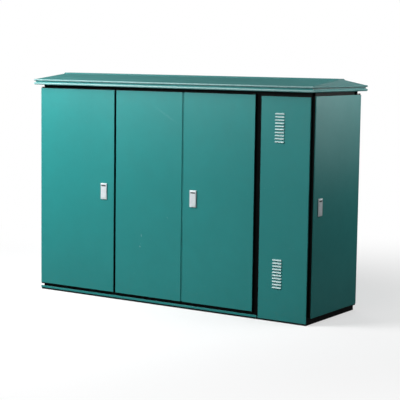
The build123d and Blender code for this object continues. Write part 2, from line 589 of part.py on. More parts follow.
leads = []
for x, z in zip(CX, LEAD_Z):
    path = FilletPolyline((HX1 - 30, LEAD_Y, z), (x - 30, LEAD_Y, z), (x - 30, LEAD_Y, CZ1), radius=60)
    leads.append(sweep(Plane(origin=path @ 0, z_dir=path % 0) * Circle(9.0), path=path))
save("hv_leads", *leads)
bush = []
for z in LEAD_Z:
    b = cyl_x(-560, -520, LEAD_Y, z, 26) + cyl_x(-545, -541, LEAD_Y, z, 33)
    bush.append(b - cyl_x(-561, -519, LEAD_Y, z, 9.3))
    b = cyl_x(HX1, HX1 + 30, LEAD_Y, z, 26) + cyl_x(HX1 - 10, HX1, LEAD_Y, z, 17.6)
    bush.append(b - cyl_x(HX1 - 11, HX1 + 31, LEAD_Y, z, 9.3))
save("hv_insulators", *caps, *bush, *blk)

# ---------------------------------------------------------------- low-voltage side
bars = []            # every straight length is its own bar, bolted flat on the next
BXE = 1062.0
for x, z, yd in zip(CX, (1510.0, 1430.0, 1350.0), (-60.0, 0.0, 60.0)):
    bars.append(bx(x - 20, BXE, 96, 104, z, z + 40))
    bars.append(bx(x - 20, x + 20, 104, 110, CZ1 + 8, z + 40))
    bars.append(bx(BXE, BXE + 6, yd - 15, 104, z, z + 40))
    bars.append(bx(BXE - 6, BXE, yd - 15, yd + 15, 1220, z + 40))
bars.append(bx(CX[0] - 20, 1035, -104, -96, 1330, 1370))
for x in CX:
    bars.append(bx(x - 20, x + 20, -110, -104, CZ1 + 8, 1370))
bars.append(bx(1035, 1041, -240, -96, 1330, 1370))
bars.append(bx(1029, 1035, -240, -220, 360, 1370))

BD = 1000.0
board = bx(BD, BD + 3, -320, 330, Z_RAIL, 1720)
board += bx(BD - 40, BD, -320, -317, Z_RAIL, 1720) + bx(BD - 40, BD, 327, 330, Z_RAIL, 1720)
board += bx(BD - 40, BD, -317, 327, 1717, 1720)
board -= bx(BD - 1, BD + 4, 60, 140, 1320, 1580)
board -= bx(BD - 1, BD + 4, -140, -60, 1300, 1400)
save("lv_board", board)

MB = dict(y=0.0, z0=930.0, z1=1240.0, w=105.0, d=110.0)
brk = []
m = bx(BD + 3, BD + 3 + MB["d"], -105, 105, 900, 1220)
m = fillet(m.faces().sort_by(Axis.X)[-1].edges(), 4)
m += bx(BD + 3 + MB["d"] - 2, BD + 3 + MB["d"] + 6, -60, 60, 1000, 1120)
m -= cyl_x(BD + 3 + MB["d"] - 24, BD + 3 + MB["d"] + 7, 0, 1060, 8.08)
brk.append(m)
FB = ((-150.0, 620.0), (0.0, 620.0), (150.0, 620.0))
FD = 80.0
xf = BD + 3 + FD
for (y, z) in FB:
    f = bx(BD + 3, xf, y - 52, y + 52, z - 85, z + 85)
    f = fillet(f.faces().sort_by(Axis.X)[-1].edges(), 3)
    f += bx(xf - 1, xf + 6, y - 24, y + 24, z - 42, z + 42)
    f -= Pos(xf - 4, y, z) * Rot(90, 0, 0) * Cylinder(16.3, 24.6)
    f -= bx(xf - 4, xf + 7, y - 12.3, y + 12.3, z - 16.3, z + 16.3)
    brk.append(f)
xm = BD + 3 + MB["d"] + 6
mh = cyl_x(xm - 28, xm + 2, 0, 1060, 8.0) + cyl_x(xm + 1, xm + 16, 0, 1060, 34.0)
grip = bx(xm + 15, xm + 44, -9, 9, 1030, 1120)
grip = fillet(grip.edges().filter_by(Axis.X), 5)
mh += grip
save("main_switch_handle", mh)
for i, (y, z) in enumerate(FB):
    tg = Pos(xf - 4, y, z) * Rot(90, 0, 0) * Cylinder(16.0, 24.0)
    lever = bx(xf - 4, xf + 34, y - 9, y + 9, z - 4, z + 4)
    lever = fillet(lever.faces().sort_by(Axis.X)[-1].edges(), 2)
    tg += lever
    # stored switched off, 20 degrees below the level
    tg = Pos(xf - 4, y, z) * (Rot(0, 20, 0) * (Pos(-(xf - 4), -y, -z) * tg))
    save("feeder_toggle_%d" % (i + 1), tg)

brk.append(bx(BD + 3, BD + 52, -200, 200, 735, 805))
save("lv_breakers", *brk)
for y in (-60.0, 0.0, 60.0):
    bars.append(bx(BD + 30, BD + 36, y - 15, y + 15, 805, 900))
for (y, z) in FB:
    for d in (-32, 0, 32):
        bars.append(bx(BD + 30, BD + 36, y + d - 9, y + d + 9, 705, 735))
EBZ = 250.0
eb = bx(BD + 23, BD + 29, -250, 250, EBZ, EBZ + 40)
for y in (-230.0, 230.0):
    eb += cyl_x(BD + 3, BD + 23, y, EBZ + 20, 11)
for k in range(8):
    y = -175 + 50 * k
    eb += cyl_x(BD + 29, BD + 34, y, EBZ + 20, 8)
nb2 = bx(BD + 23, BD + 29, -250, 250, EBZ + 110, EBZ + 150)
for y in (-230.0, 230.0):
    nb2 += cyl_x(BD + 3, BD + 23, y, EBZ + 130, 11)
for k in range(8):
    y = -175 + 50 * k
    nb2 += cyl_x(BD + 29, BD + 34, y, EBZ + 130, 8)
save("lv_busbars", *bars, eb, nb2)
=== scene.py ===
import bpy, bmesh, json, math
from mathutils import Matrix, Vector


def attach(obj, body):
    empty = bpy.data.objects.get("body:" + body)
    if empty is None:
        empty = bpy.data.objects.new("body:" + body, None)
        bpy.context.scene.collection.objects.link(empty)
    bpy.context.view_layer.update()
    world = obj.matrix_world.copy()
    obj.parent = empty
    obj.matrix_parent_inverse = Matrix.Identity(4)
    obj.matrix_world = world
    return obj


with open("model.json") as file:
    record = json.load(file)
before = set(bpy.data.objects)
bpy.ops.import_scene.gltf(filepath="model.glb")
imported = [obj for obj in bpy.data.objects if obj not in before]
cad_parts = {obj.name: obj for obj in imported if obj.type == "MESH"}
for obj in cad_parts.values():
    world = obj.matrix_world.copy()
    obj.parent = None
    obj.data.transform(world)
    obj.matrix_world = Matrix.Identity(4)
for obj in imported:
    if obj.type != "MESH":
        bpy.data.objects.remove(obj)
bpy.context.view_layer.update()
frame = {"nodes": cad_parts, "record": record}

scene = bpy.context.scene
N = frame["nodes"]


# ------------------------------------------------------------------ camera
def set_camera():
    az, el, roll = math.radians(33.2847), math.radians(6.3766), math.radians(0.7799)
    fwd = Vector((-math.sin(az) * math.cos(el), math.cos(az) * math.cos(el), -math.sin(el)))
    right = Vector((math.cos(az), math.sin(az), 0.0))
    up = right.cross(fwd)
    r2 = math.cos(roll) * right + math.sin(roll) * up
    u2 = -math.sin(roll) * right + math.cos(roll) * up
    cam = bpy.data.cameras.new("camera")
    cam.sensor_width = 36.0
    cam.lens = 1280.5611 * 36.0 / 400.0
    cam.clip_start, cam.clip_end = 0.1, 600.0
    ob = bpy.data.objects.new("camera", cam)
    scene.collection.objects.link(ob)
    m = Matrix.Identity(4)
    for i in range(3):
        m[i][0], m[i][1], m[i][2] = r2[i], u2[i], -fwd[i]
    m[0][3], m[1][3], m[2][3] = 6.14150, -9.25529, 2.11483
    ob.matrix_world = m
    scene.camera = ob
    return ob


cam = set_camera()


# ------------------------------------------------------------------ small node language
class Mat:
    """a node material written as nested calls; numbers or sockets go in, sockets come out"""

    def __init__(self, name, **consts):
        self.m = bpy.data.materials.new(name)
        self.m.use_nodes = True
        self.t = self.m.node_tree
        self.t.nodes.clear()
        self.out = self.t.nodes.new("ShaderNodeOutputMaterial")
        self.b = self.t.nodes.new("ShaderNodeBsdfPrincipled")
        self.t.links.new(self.b.outputs[0], self.out.inputs[0])
        tc = self.t.nodes.new("ShaderNodeTexCoord")
        self.co = tc.outputs["Object"]
        g = self.t.nodes.new("ShaderNodeNewGeometry")
        self.geo = g
        sep = self.t.nodes.new("ShaderNodeSeparateXYZ")
        self.t.links.new(self.co, sep.inputs[0])
        self.x, self.y, self.z = sep.outputs
        sn = self.t.nodes.new("ShaderNodeSeparateXYZ")
        self.t.links.new(g.outputs["Normal"], sn.inputs[0])
        self.nx, self.ny, self.nz = sn.outputs
        for k, v in consts.items():
            self.set(k.replace("_", " "), v)

    def put(self, sock, v):
        if isinstance(v, bpy.types.NodeSocket):
            self.t.links.new(v, sock)
        elif isinstance(v, (tuple, list)) and len(v) == 3 and sock.type == "RGBA":
            sock.default_value = (v[0], v[1], v[2], 1.0)
        else:
            sock.default_value = v

    def set(self, name, v):
        self.put(self.b.inputs[name], v)

    def math(self, op, a, b=0.0, c=None, clamp=False):
        n = self.t.nodes.new("ShaderNodeMath")
        n.operation = op
        n.use_clamp = clamp
        self.put(n.inputs[0], a)
        self.put(n.inputs[1], b)
        if c is not None:
            self.put(n.inputs[2], c)
        return n.outputs[0]

    def add(self, a, b): return self.math("ADD", a, b)
    def sub(self, a, b): return self.math("SUBTRACT", a, b)
    def mul(self, a, b): return self.math("MULTIPLY", a, b)
    def inv(self, a): return self.math("SUBTRACT", 1.0, a)

    def map(self, v, a0, a1, b0=0.0, b1=1.0, smooth=False):
        n = self.t.nodes.new("ShaderNodeMapRange")
        n.interpolation_type = "SMOOTHSTEP" if smooth else "LINEAR"
        n.clamp = True
        self.put(n.inputs[0], v)
        for i, k in enumerate((a0, a1, b0, b1)):
            self.put(n.inputs[i + 1], k)
        return n.outputs[0]

    def stretch(self, sx, sy, sz, rot=(0, 0, 0), loc=(0, 0, 0)):
        n = self.t.nodes.new("ShaderNodeMapping")
        self.t.links.new(self.co, n.inputs[0])
        n.inputs["Location"].default_value = loc
        n.inputs["Rotation"].default_value = rot
        n.inputs["Scale"].default_value = (sx, sy, sz)
        return n.outputs[0]

    def noise(self, scale, detail=2.0, rough=0.5, vec=None, distort=0.0):
        n = self.t.nodes.new("ShaderNodeTexNoise")
        self.t.links.new(vec or self.co, n.inputs["Vector"])
        n.inputs["Scale"].default_value = scale
        n.inputs["Detail"].default_value = detail
        n.inputs["Roughness"].default_value = rough
        n.inputs["Distortion"].default_value = distort
        return n.outputs[0]

    def voronoi(self, scale, feature="F1", out=0, vec=None, rand=1.0):
        n = self.t.nodes.new("ShaderNodeTexVoronoi")
        n.feature = feature
        self.t.links.new(vec or self.co, n.inputs["Vector"])
        n.inputs["Scale"].default_value = scale
        n.inputs["Randomness"].default_value = rand
        return n.outputs[out]

    def wave(self, scale, axis="X", vec=None, distort=0.0, profile="SIN"):
        n = self.t.nodes.new("ShaderNodeTexWave")
        n.bands_direction = axis
        n.wave_profile = profile
        self.t.links.new(vec or self.co, n.inputs["Vector"])
        n.inputs["Scale"].default_value = scale
        n.inputs["Distortion"].default_value = distort
        return n.outputs["Fac"]

    def mix(self, fac, a, b, mode="MIX"):
        n = self.t.nodes.new("ShaderNodeMix")
        n.data_type = "RGBA"
        n.blend_type = mode
        self.put(n.inputs[0], fac)
        self.put(n.inputs[6], a)
        self.put(n.inputs[7], b)
        return n.outputs[2]

    def ramp(self, fac, *stops):
        n = self.t.nodes.new("ShaderNodeValToRGB")
        e = n.color_ramp.elements
        while len(e) < len(stops):
            e.new(0.5)
        for i, (p, c) in enumerate(stops):
            e[i].position = p
            e[i].color = (c[0], c[1], c[2], 1.0)
        self.put(n.inputs[0], fac)
        return n.outputs[0]

    def soft(self, radius, samples=4):
        n = self.t.nodes.new("ShaderNodeBevel")
        n.samples = samples
        n.inputs["Radius"].default_value = radius
        return n.outputs[0]

    def edge(self, radius, lo=0.02, hi=0.25):
        """0 on flat ground, 1 on an outer or inner edge"""
        n = self.t.nodes.new("ShaderNodeVectorMath")
        n.operation = "DOT_PRODUCT"
        self.t.links.new(self.soft(radius), n.inputs[0])
        self.t.links.new(self.geo.outputs["Normal"], n.inputs[1])
        return self.map(self.inv(n.outputs["Value"]), lo, hi)

    def bump(self, height, distance, strength=1.0, normal=None):
        n = self.t.nodes.new("ShaderNodeBump")
        n.inputs["Strength"].default_value = strength
        n.inputs["Distance"].default_value = distance
        self.put(n.inputs["Height"], height)
        if normal is not None:
            self.t.links.new(normal, n.inputs["Normal"])
        return n.outputs[0]

    def normal(self, n):
        self.t.links.new(n, self.b.inputs["Normal"])


# ------------------------------------------------------------------ finishes
def green_paint(name, dust=0.0, tone=1.0, extra=None):
    """satin green powder coat on sheet steel; extra adds marks of its own over the paint"""
    k = Mat(name, Specular_IOR_Level=0.5)
    broad = k.noise(1.3, 3.0, 0.55)
    cloud = k.noise(9.0, 4.0, 0.6)
    grain = k.noise(420.0, 2.0, 0.5)
    base_a, base_b = (tuple(c * tone for c in v) for v in ((0.0110, 0.185, 0.180), (0.0140, 0.206, 0.200)))
    col = k.mix(k.map(broad, 0.3, 0.7), base_a, base_b)
    col = k.mix(k.mul(k.map(cloud, 0.35, 0.75), 0.35), col, (0.0095, 0.168, 0.164))
    # the folded edges are painted lighter: partly a thin coat that lets a lighter tone through, partly a painted
    # highlight along the edges
    worn = k.mul(k.edge(0.0034), k.map(k.noise(60.0, 4.0, 0.65), 0.46, 0.62))
    col = k.mix(k.mul(worn, 0.55), col, (0.10, 0.33, 0.30))
    # rare small scuffs and specks of dust
    speck = k.voronoi(26.0, "F1", 0)
    pick = k.noise(3.1, 0.0, 0.5)
    specks = k.mul(k.map(speck, 0.035, 0.06, 1.0, 0.0), k.map(pick, 0.62, 0.66))
    col = k.mix(k.mul(specks, 0.5), col, (0.22, 0.42, 0.40))
    up = k.map(k.nz, 0.55, 0.95)
    settled = k.mul(up, k.map(k.noise(14.0, 5.0, 0.7), 0.34, 0.72, 0.45, 1.0))
    col = k.mix(k.mul(settled, 0.10 + dust), col, (0.30, 0.36, 0.34))
    # faint splash above the ground
    low = k.mul(k.map(k.z, 0.02, 0.32, 1.0, 0.0, True), k.map(k.noise(38.0, 5.0, 0.7), 0.5, 0.72))
    col = k.mix(k.mul(low, 0.12), col, (0.10, 0.15, 0.13))
    if extra:
        col = extra(k, col)
    k.set("Base Color", col)
    ro = k.add(0.34 + 2.0 * dust, k.mul(cloud, 0.10))
    ro = k.add(ro, k.mul(settled, 0.22))
    ro = k.add(ro, k.mul(low, 0.12))
    k.set("Roughness", ro)
    peel = k.bump(grain, 0.00006, 0.5, k.soft(0.0009))
    k.normal(k.bump(k.noise(2.4, 1.0, 0.4), 0.0022, 0.6, peel))
    return k.m


def scuffs_and_reflection(k, col):
    """small light scratches on the middle door, and one long faint light streak on it that is a painted reflection"""
    front = k.map(k.y, -0.4295, -0.4298)
    for x0, z0, ax, az, tilt in ((-0.250, 0.585, 0.0016, 0.016, 0.10), (-0.263, 0.488, 0.0040, 0.0060, 0.3),
                                 (-0.256, 0.512, 0.0012, 0.0050, -0.2), (0.020, 0.760, 0.0010, 0.010, 0.4)):
        c, s = math.cos(tilt), math.sin(tilt)
        dx, dz = k.sub(k.x, x0), k.sub(k.z, z0)
        u = k.mul(k.add(k.mul(dx, c), k.mul(dz, s)), 1.0 / ax)
        v = k.mul(k.sub(k.mul(dz, c), k.mul(dx, s)), 1.0 / az)
        d = k.add(k.add(k.mul(u, u), k.mul(v, v)), k.mul(k.noise(400.0, 2.0, 0.6), 0.8))
        col = k.mix(k.mul(k.mul(k.map(d, 0.7, 1.3, 1.0, 0.0), front), 0.8), col, (0.42, 0.56, 0.52))
    # the painted reflection: a thin slanting light band that fades at both ends
    ang = -0.52
    dx, dz = k.sub(k.x, -0.01), k.sub(k.z, 1.630)
    along = k.sub(k.mul(dx, math.cos(ang)), k.mul(dz, -math.sin(ang)))
    across = k.add(k.mul(dx, -math.sin(ang)), k.mul(dz, math.cos(ang)))
    band = k.mul(front, k.map(k.math("ABSOLUTE", across), 0.0, 0.016, 1.0, 0.0, True))
    band = k.mul(band, k.map(k.math("ABSOLUTE", along), 0.02, 0.17, 1.0, 0.0, True))
    return k.mix(k.mul(k.mul(band, k.map(k.noise(70.0, 4.0, 0.7), 0.3, 0.6)), 0.10), col, (0.25, 0.45, 0.43))


def lip_highlights(k, col):
    """painted highlight: each rolled eave lip is painted light along its outermost line"""
    out = k.math("MAXIMUM", k.map(k.math("ABSOLUTE", k.y), 0.4700, 0.4755), k.map(k.math("ABSOLUTE", k.x), 1.4060, 1.4115, 0.0, 0.3))
    return k.mix(k.mul(out, k.map(k.noise(50.0, 3.0, 0.6), 0.25, 0.6, 0.20, 0.40)), col, (0.36, 0.46, 0.46))


def hood_rim_highlights(k, col):
    """painted highlight: the outer rims of the pressed hoods are painted light"""
    out = k.map(k.y, -0.4335, -0.4365)
    return k.mix(k.mul(out, k.map(k.noise(90.0, 3.0, 0.6), 0.25, 0.6, 0.50, 0.85)), col, (0.62, 0.76, 0.76))


def black_paint_gap_shade(name):
    k = Mat(name, Specular_IOR_Level=0.16)
    broad = k.noise(5.0, 4.0, 0.6)
    # the frame is black paint, set near pure black so that the frame seen in the gaps between panels reads as deep
    # shade: partly painted shade
    col = k.mix(k.map(broad, 0.3, 0.75), (0.0014, 0.0022, 0.0026), (0.0038, 0.0050, 0.0054))
    worn = k.mul(k.edge(0.002), k.map(k.noise(75.0, 4.0, 0.6), 0.5, 0.62))
    col = k.mix(k.mul(worn, 0.5), col, (0.055, 0.055, 0.052))
    low = k.mul(k.map(k.z, 0.0, 0.10, 1.0, 0.0, True), k.map(k.noise(30.0, 5.0, 0.7), 0.45, 0.7))
    col = k.mix(k.mul(low, 0.25), col, (0.055, 0.050, 0.042))
    k.set("Base Color", col)
    k.set("Roughness", k.add(0.42, k.mul(broad, 0.2)))
    k.normal(k.bump(k.noise(380.0, 2.0, 0.5), 0.00008, 0.5, k.soft(0.0008)))
    return k.m


def chrome(name, pocket=False):
    """die-cast lock parts with a bright satin plate; with pocket set, the bottom of the pocket is painted near black as
    painted shade
    """
    k = Mat(name, Metallic=0.45, Specular_IOR_Level=0.6)
    brush = k.noise(160.0, 3.0, 0.6, k.stretch(14.0, 14.0, 0.6))
    smudge = k.noise(30.0, 4.0, 0.6)
    col = k.mix(k.map(smudge, 0.35, 0.75), (0.83, 0.89, 0.92), (0.74, 0.80, 0.83))
    pit = k.map(k.voronoi(420.0), 0.08, 0.16, 1.0, 0.0)
    pit = k.mul(pit, k.map(k.noise(55.0, 2.0, 0.5), 0.58, 0.66))
    col = k.mix(k.mul(pit, 0.6), col, (0.30, 0.30, 0.30))
    if pocket:
        # painted shade: the floor of the lock pocket is painted near black
        pocket_shade = k.mul(k.map(k.y, -0.4338, -0.4334), k.map(k.y, -0.4300, -0.4297, 1.0, 0.0))
        pocket_shade = k.add(pocket_shade, k.mul(k.map(k.x, 1.3947, 1.3950), k.map(k.x, 1.3984, 1.3988, 1.0, 0.0)))
        col = k.mix(k.mul(pocket_shade, 0.95), col, (0.010, 0.012, 0.014))
    k.set("Base Color", col)
    k.set("Roughness", k.add(0.26, k.add(k.mul(smudge, 0.14), k.mul(brush, 0.05))))
    k.normal(k.bump(brush, 0.00003, 0.35, k.soft(0.0007)))
    return k.m


def zinc(name):
    """bright passivated zinc on turned and punched steel"""
    k = Mat(name, Metallic=1.0)
    film = k.noise(34.0, 4.0, 0.65)
    col = k.ramp(film, (0.25, (0.62, 0.63, 0.62)), (0.5, (0.70, 0.69, 0.62)), (0.72, (0.58, 0.62, 0.66)))
    dull = k.map(k.noise(11.0, 5.0, 0.7), 0.45, 0.75)
    col = k.mix(k.mul(dull, 0.5), col, (0.40, 0.40, 0.38))
    k.set("Base Color", col)
    k.set("Roughness", k.add(0.30, k.mul(dull, 0.22)))
    k.normal(k.bump(k.noise(260.0, 2.0, 0.6), 0.00004, 0.5, k.soft(0.0005)))
    return k.m


def galvanised(name):
    """hot-dip sheet with its spangle"""
    k = Mat(name, Metallic=0.3, Specular_IOR_Level=0.6)
    cell = k.voronoi(52.0, "F1", 1, k.stretch(1.0, 1.0, 1.0, (0.3, 0.2, 0.1)))
    n = k.t.nodes.new("ShaderNodeSeparateColor")
    k.t.links.new(cell, n.inputs[0])
    tone = n.outputs[0]
    col = k.ramp(tone, (0.0, (0.52, 0.54, 0.55)), (0.5, (0.61, 0.63, 0.64)), (1.0, (0.71, 0.73, 0.74)))
    white = k.map(k.noise(7.0, 5.0, 0.7), 0.55, 0.8)
    col = k.mix(k.mul(white, 0.35), col, (0.76, 0.78, 0.78))
    k.set("Base Color", col)
    k.set("Roughness", k.add(k.add(0.32, k.mul(n.outputs[1], 0.16)), k.mul(white, 0.2)))
    edge = k.voronoi(52.0, "DISTANCE_TO_EDGE", 0, k.stretch(1.0, 1.0, 1.0, (0.3, 0.2, 0.1)))
    k.normal(k.bump(k.map(edge, 0.0, 0.08), 0.00006, 0.4, k.soft(0.0005)))
    return k.m


def rubber(name):
    k = Mat(name, Specular_IOR_Level=0.35)
    bloom = k.noise(24.0, 5.0, 0.7)
    col = k.mix(k.map(bloom, 0.45, 0.8), (0.012, 0.012, 0.012), (0.045, 0.044, 0.042))
    k.set("Base Color", col)
    k.set("Roughness", k.add(0.66, k.mul(bloom, 0.2)))
    k.normal(k.bump(k.noise(900.0, 3.0, 0.6), 0.00008, 0.6, k.soft(0.0008)))
    return k.m


def wire_mesh(name):
    """wires of the insect screens"""
    k = Mat(name, Metallic=0.9)
    film = k.noise(40.0, 4.0, 0.6)
    k.set("Base Color", k.mix(k.map(film, 0.35, 0.7), (0.30, 0.31, 0.31), (0.46, 0.47, 0.47)))
    k.set("Roughness", k.add(0.38, k.mul(film, 0.2)))
    wx = k.wave(318.0, "X")
    wz = k.wave(318.0, "Z")
    k.normal(k.bump(k.math("MAXIMUM", wx, wz), 0.0004, 0.9))
    return k.m


def grey_paint(name, lines=False):
    """light grey switchgear paint with a fine texture"""
    k = Mat(name, Specular_IOR_Level=0.45)
    broad = k.noise(2.5, 3.0, 0.6)
    col = k.mix(k.map(broad, 0.3, 0.7), (0.50, 0.525, 0.515), (0.56, 0.58, 0.565))
    worn = k.mul(k.edge(0.0018), k.map(k.noise(70.0, 4.0, 0.6), 0.52, 0.62))
    col = k.mix(k.mul(worn, 0.6), col, (0.26, 0.27, 0.27))
    if lines:
        # the raised line work of the switching diagram is black
        raised = k.map(k.y, -0.1968, -0.1966, 1.0, 0.0)
        thin = k.map(k.math("ABSOLUTE", k.add(k.x, 0.83)), 0.031, 0.0312)
        thin = k.math("MAXIMUM", thin, k.map(k.z, 1.27, 1.272))
        col = k.mix(k.mul(raised, thin), col, (0.012, 0.012, 0.013))
    dust = k.mul(k.map(k.nz, 0.5, 0.9), k.map(k.noise(18.0, 5.0, 0.7), 0.35, 0.7))
    col = k.mix(k.mul(dust, 0.4), col, (0.40, 0.39, 0.36))
    k.set("Base Color", col)
    k.set("Roughness", k.add(0.42, k.add(k.mul(broad, 0.1), k.mul(dust, 0.25))))
    k.normal(k.bump(k.noise(520.0, 3.0, 0.6), 0.00012, 0.7, k.soft(0.0008)))
    return k.m


def plastic(name, a, b, rough=0.36, grain=1.0):
    """moulded plastic with a fine spark-eroded grain and handling marks"""
    k = Mat(name, Specular_IOR_Level=0.5)
    tone = k.noise(12.0, 3.0, 0.6)
    col = k.mix(k.map(tone, 0.3, 0.7), a, b)
    rub = k.mul(k.edge(0.0016), k.map(k.noise(90.0, 3.0, 0.6), 0.48, 0.62))
    col = k.mix(k.mul(rub, 0.35), col, tuple(min(1.0, c * 1.6 + 0.05) for c in b))
    k.set("Base Color", col)
    k.set("Roughness", k.add(rough, k.mul(tone, 0.14)))
    k.normal(k.bump(k.noise(1100.0, 2.0, 0.6), 0.00006 * grain, 0.7, k.soft(0.0010)))
    return k.m


def cast_resin(name, a, b, rough=0.32, mesh=0.0):
    """resin casting: slight flow streaks, a glass cloth print where it has one, dust on top"""
    k = Mat(name, Specular_IOR_Level=0.5)
    flow = k.noise(6.0, 5.0, 0.6, k.stretch(1.0, 1.0, 0.35), 0.6)
    col = k.mix(k.map(flow, 0.3, 0.72), a, b)
    dust = k.mul(k.map(k.nz, 0.45, 0.9), k.map(k.noise(20.0, 5.0, 0.7), 0.3, 0.7))
    col = k.mix(k.mul(dust, 0.35), col, (0.34, 0.31, 0.27))
    k.set("Base Color", col)
    k.set("Roughness", k.add(k.add(rough, k.mul(flow, 0.14)), k.mul(dust, 0.3)))
    h = k.noise(240.0, 3.0, 0.6)
    if mesh:
        h = k.add(h, k.mul(k.math("MAXIMUM", k.wave(60.0, "Z"), k.wave(60.0, "X")), mesh))
    k.normal(k.bump(h, 0.00018, 0.6, k.soft(0.0012)))
    return k.m


def winding(name, a, b):
    """foil winding: wrapped layers seen as fine vertical and level lines"""
    k = Mat(name, Specular_IOR_Level=0.4)
    lay = k.wave(46.0, "Z", None, 0.4)
    tone = k.noise(16.0, 4.0, 0.6, k.stretch(1.0, 1.0, 3.0))
    col = k.mix(k.map(tone, 0.3, 0.7), a, b)
    col = k.mix(k.mul(k.map(lay, 0.0, 0.25, 1.0, 0.0), 0.5), col, tuple(c * 0.45 for c in a))
    k.set("Base Color", col)
    k.set("Roughness", k.add(0.48, k.mul(tone, 0.16)))
    k.normal(k.bump(k.add(lay, k.mul(tone, 0.5)), 0.0006, 0.6))
    return k.m


def core_steel(name):
    """stacked core sheets under varnish: the sheet edges show as close lines"""
    k = Mat(name, Metallic=0.55, Specular_IOR_Level=0.4)
    lines = k.noise(1.0, 1.0, 0.6, k.stretch(2.0, 900.0, 2.0))
    tone = k.noise(7.0, 4.0, 0.6)
    col = k.mix(k.map(lines, 0.35, 0.65), (0.045, 0.048, 0.052), (0.13, 0.135, 0.14))
    rust = k.mul(k.map(k.noise(22.0, 5.0, 0.7), 0.56, 0.74), 0.35)
    col = k.mix(rust, col, (0.12, 0.055, 0.028))
    k.set("Base Color", col)
    k.set("Roughness", k.add(0.40, k.mul(tone, 0.2)))
    k.normal(k.bump(lines, 0.0003, 0.6, k.soft(0.0008)))
    return k.m


def copper(name):
    """bare rolled copper bar, browned in places"""
    k = Mat(name, Metallic=1.0)
    draw = k.noise(40.0, 3.0, 0.6, k.stretch(6.0, 6.0, 1.0))
    age = k.noise(9.0, 5.0, 0.65)
    col = k.ramp(age, (0.30, (0.86, 0.47, 0.31)), (0.55, (0.70, 0.35, 0.22)), (0.78, (0.36, 0.17, 0.11)))
    k.set("Base Color", col)
    k.set("Roughness", k.add(0.24, k.add(k.mul(age, 0.24), k.mul(draw, 0.06))))
    k.normal(k.bump(draw, 0.00005, 0.4, k.soft(0.0008)))
    return k.m


def silicone(name, a, b):
    k = Mat(name, Specular_IOR_Level=0.45)
    tone = k.noise(20.0, 4.0, 0.6)
    col = k.mix(k.map(tone, 0.35, 0.7), a, b)
    k.set("Base Color", col)
    k.set("Roughness", k.add(0.40, k.mul(tone, 0.18)))
    k.normal(k.bump(k.noise(500.0, 2.0, 0.6), 0.00008, 0.5))
    return k.m


M = {
    "cabinet_green_paint": green_paint("cabinet_green_paint_v"),
    "frame_black_paint": black_paint_gap_shade("frame_black_gap_shade_v"),
    "lock_chrome": chrome("lock_chrome_v"),
    "zinc_plated_steel": zinc("zinc_plated_steel_v"),
    "galvanised_sheet": galvanised("galvanised_sheet_v"),
    "black_rubber": rubber("black_rubber_v"),
    "screen_mesh": wire_mesh("screen_mesh_v"),
    "switchgear_grey_paint": grey_paint("switchgear_grey_paint_v"),
    "black_plastic": plastic("black_plastic_v", (0.012, 0.012, 0.013), (0.022, 0.022, 0.023)),
    "red_plastic": plastic("red_plastic_v", (0.42, 0.018, 0.012), (0.50, 0.026, 0.018), 0.30),
    "brown_epoxy": cast_resin("brown_epoxy_v", (0.16, 0.040, 0.022), (0.21, 0.056, 0.030)),
    "lead_insulation": silicone("lead_insulation_v", (0.33, 0.022, 0.016), (0.42, 0.034, 0.024)),
    "core_steel": core_steel("core_steel_v"),
    "clamp_blue_paint": grey_paint("clamp_paint_v"),
    "lv_winding_resin": winding("lv_winding_resin_v", (0.40, 0.27, 0.12), (0.50, 0.36, 0.18)),
    "hv_winding_resin": cast_resin("hv_winding_resin_v", (0.25, 0.055, 0.032), (0.31, 0.075, 0.045), 0.36, 0.6),
    "copper": copper("copper_v"),
    "dark_plastic": plastic("dark_plastic_v", (0.040, 0.044, 0.048), (0.058, 0.062, 0.066)),
}
# the roof takes a darker copy of the cabinet green (tone 0.76) as painted shade, with a little dust
roof_shaded_green = green_paint("roof_shaded_green_paint_v", 0.04, 0.76, lip_highlights)
eave_green = green_paint("eave_green_paint_v", 0.0, 1.0, lip_highlights)
door_2_green = green_paint("door_2_green_paint_v", 0.0, 1.0, scuffs_and_reflection)
louvre_green = green_paint("louvre_green_paint_v", 0.0, 0.97, hood_rim_highlights)
fascia = grey_paint("fascia_v", True)
lock_body = chrome("lock_body_v", True)

slots = {p["node"]: p["material_slot"] for p in frame["record"]["subparts"]}
for name, ob in N.items():
    m = M[slots[name]]
    if name in ("roof_sheet", "ridge_cap"):
        m = roof_shaded_green
    if name == "hv_switch_fascia":
        m = fascia
    if name == "eave_tray":
        m = eave_green
    if name.endswith("_lock_housing"):
        m = lock_body
    if name == "door_2_skin":
        m = door_2_green
    if name == "louvre_panel":
        m = louvre_green
    if not ob.material_slots:
        ob.data.materials.append(m)
    for s in ob.material_slots:
        s.material = m


# ------------------------------------------------------------------ mesh pieces, lengths in mm
MM = 0.001


def frame_of(axis):
    a = Vector(axis).normalized()
    u = Vector((0, 0, 1)) if abs(a.z) < 0.9 else Vector((1, 0, 0))
    u = (u - a * u.dot(a)).normalized()
    return a, u, a.cross(u)


def lathe(bm, at, axis, prof, seg=24, turn=0.0):
    """revolve (radius, height) pairs round an axis through at; a radius of 0 closes to a point"""
    a, u, v = frame_of(axis)
    rings = []
    for r, h in prof:
        c = Vector(at) + a * h
        if r < 1e-6:
            rings.append([bm.verts.new(c * MM)])
            continue
        rings.append([bm.verts.new((c + (u * math.cos(turn + 2 * math.pi * i / seg) + v * math.sin(turn + 2 * math.pi * i / seg)) * r) * MM)
                      for i in range(seg)])
    for p, q in zip(rings, rings[1:]):
        for i in range(seg):
            j = (i + 1) % seg
            if len(p) == 1 and len(q) == 1:
                continue
            if len(p) == 1:
                bm.faces.new((p[0], q[i], q[j]))
            elif len(q) == 1:
                bm.faces.new((p[i], q[0], p[j]))
            else:
                bm.faces.new((p[i], q[i], q[j], p[j]))


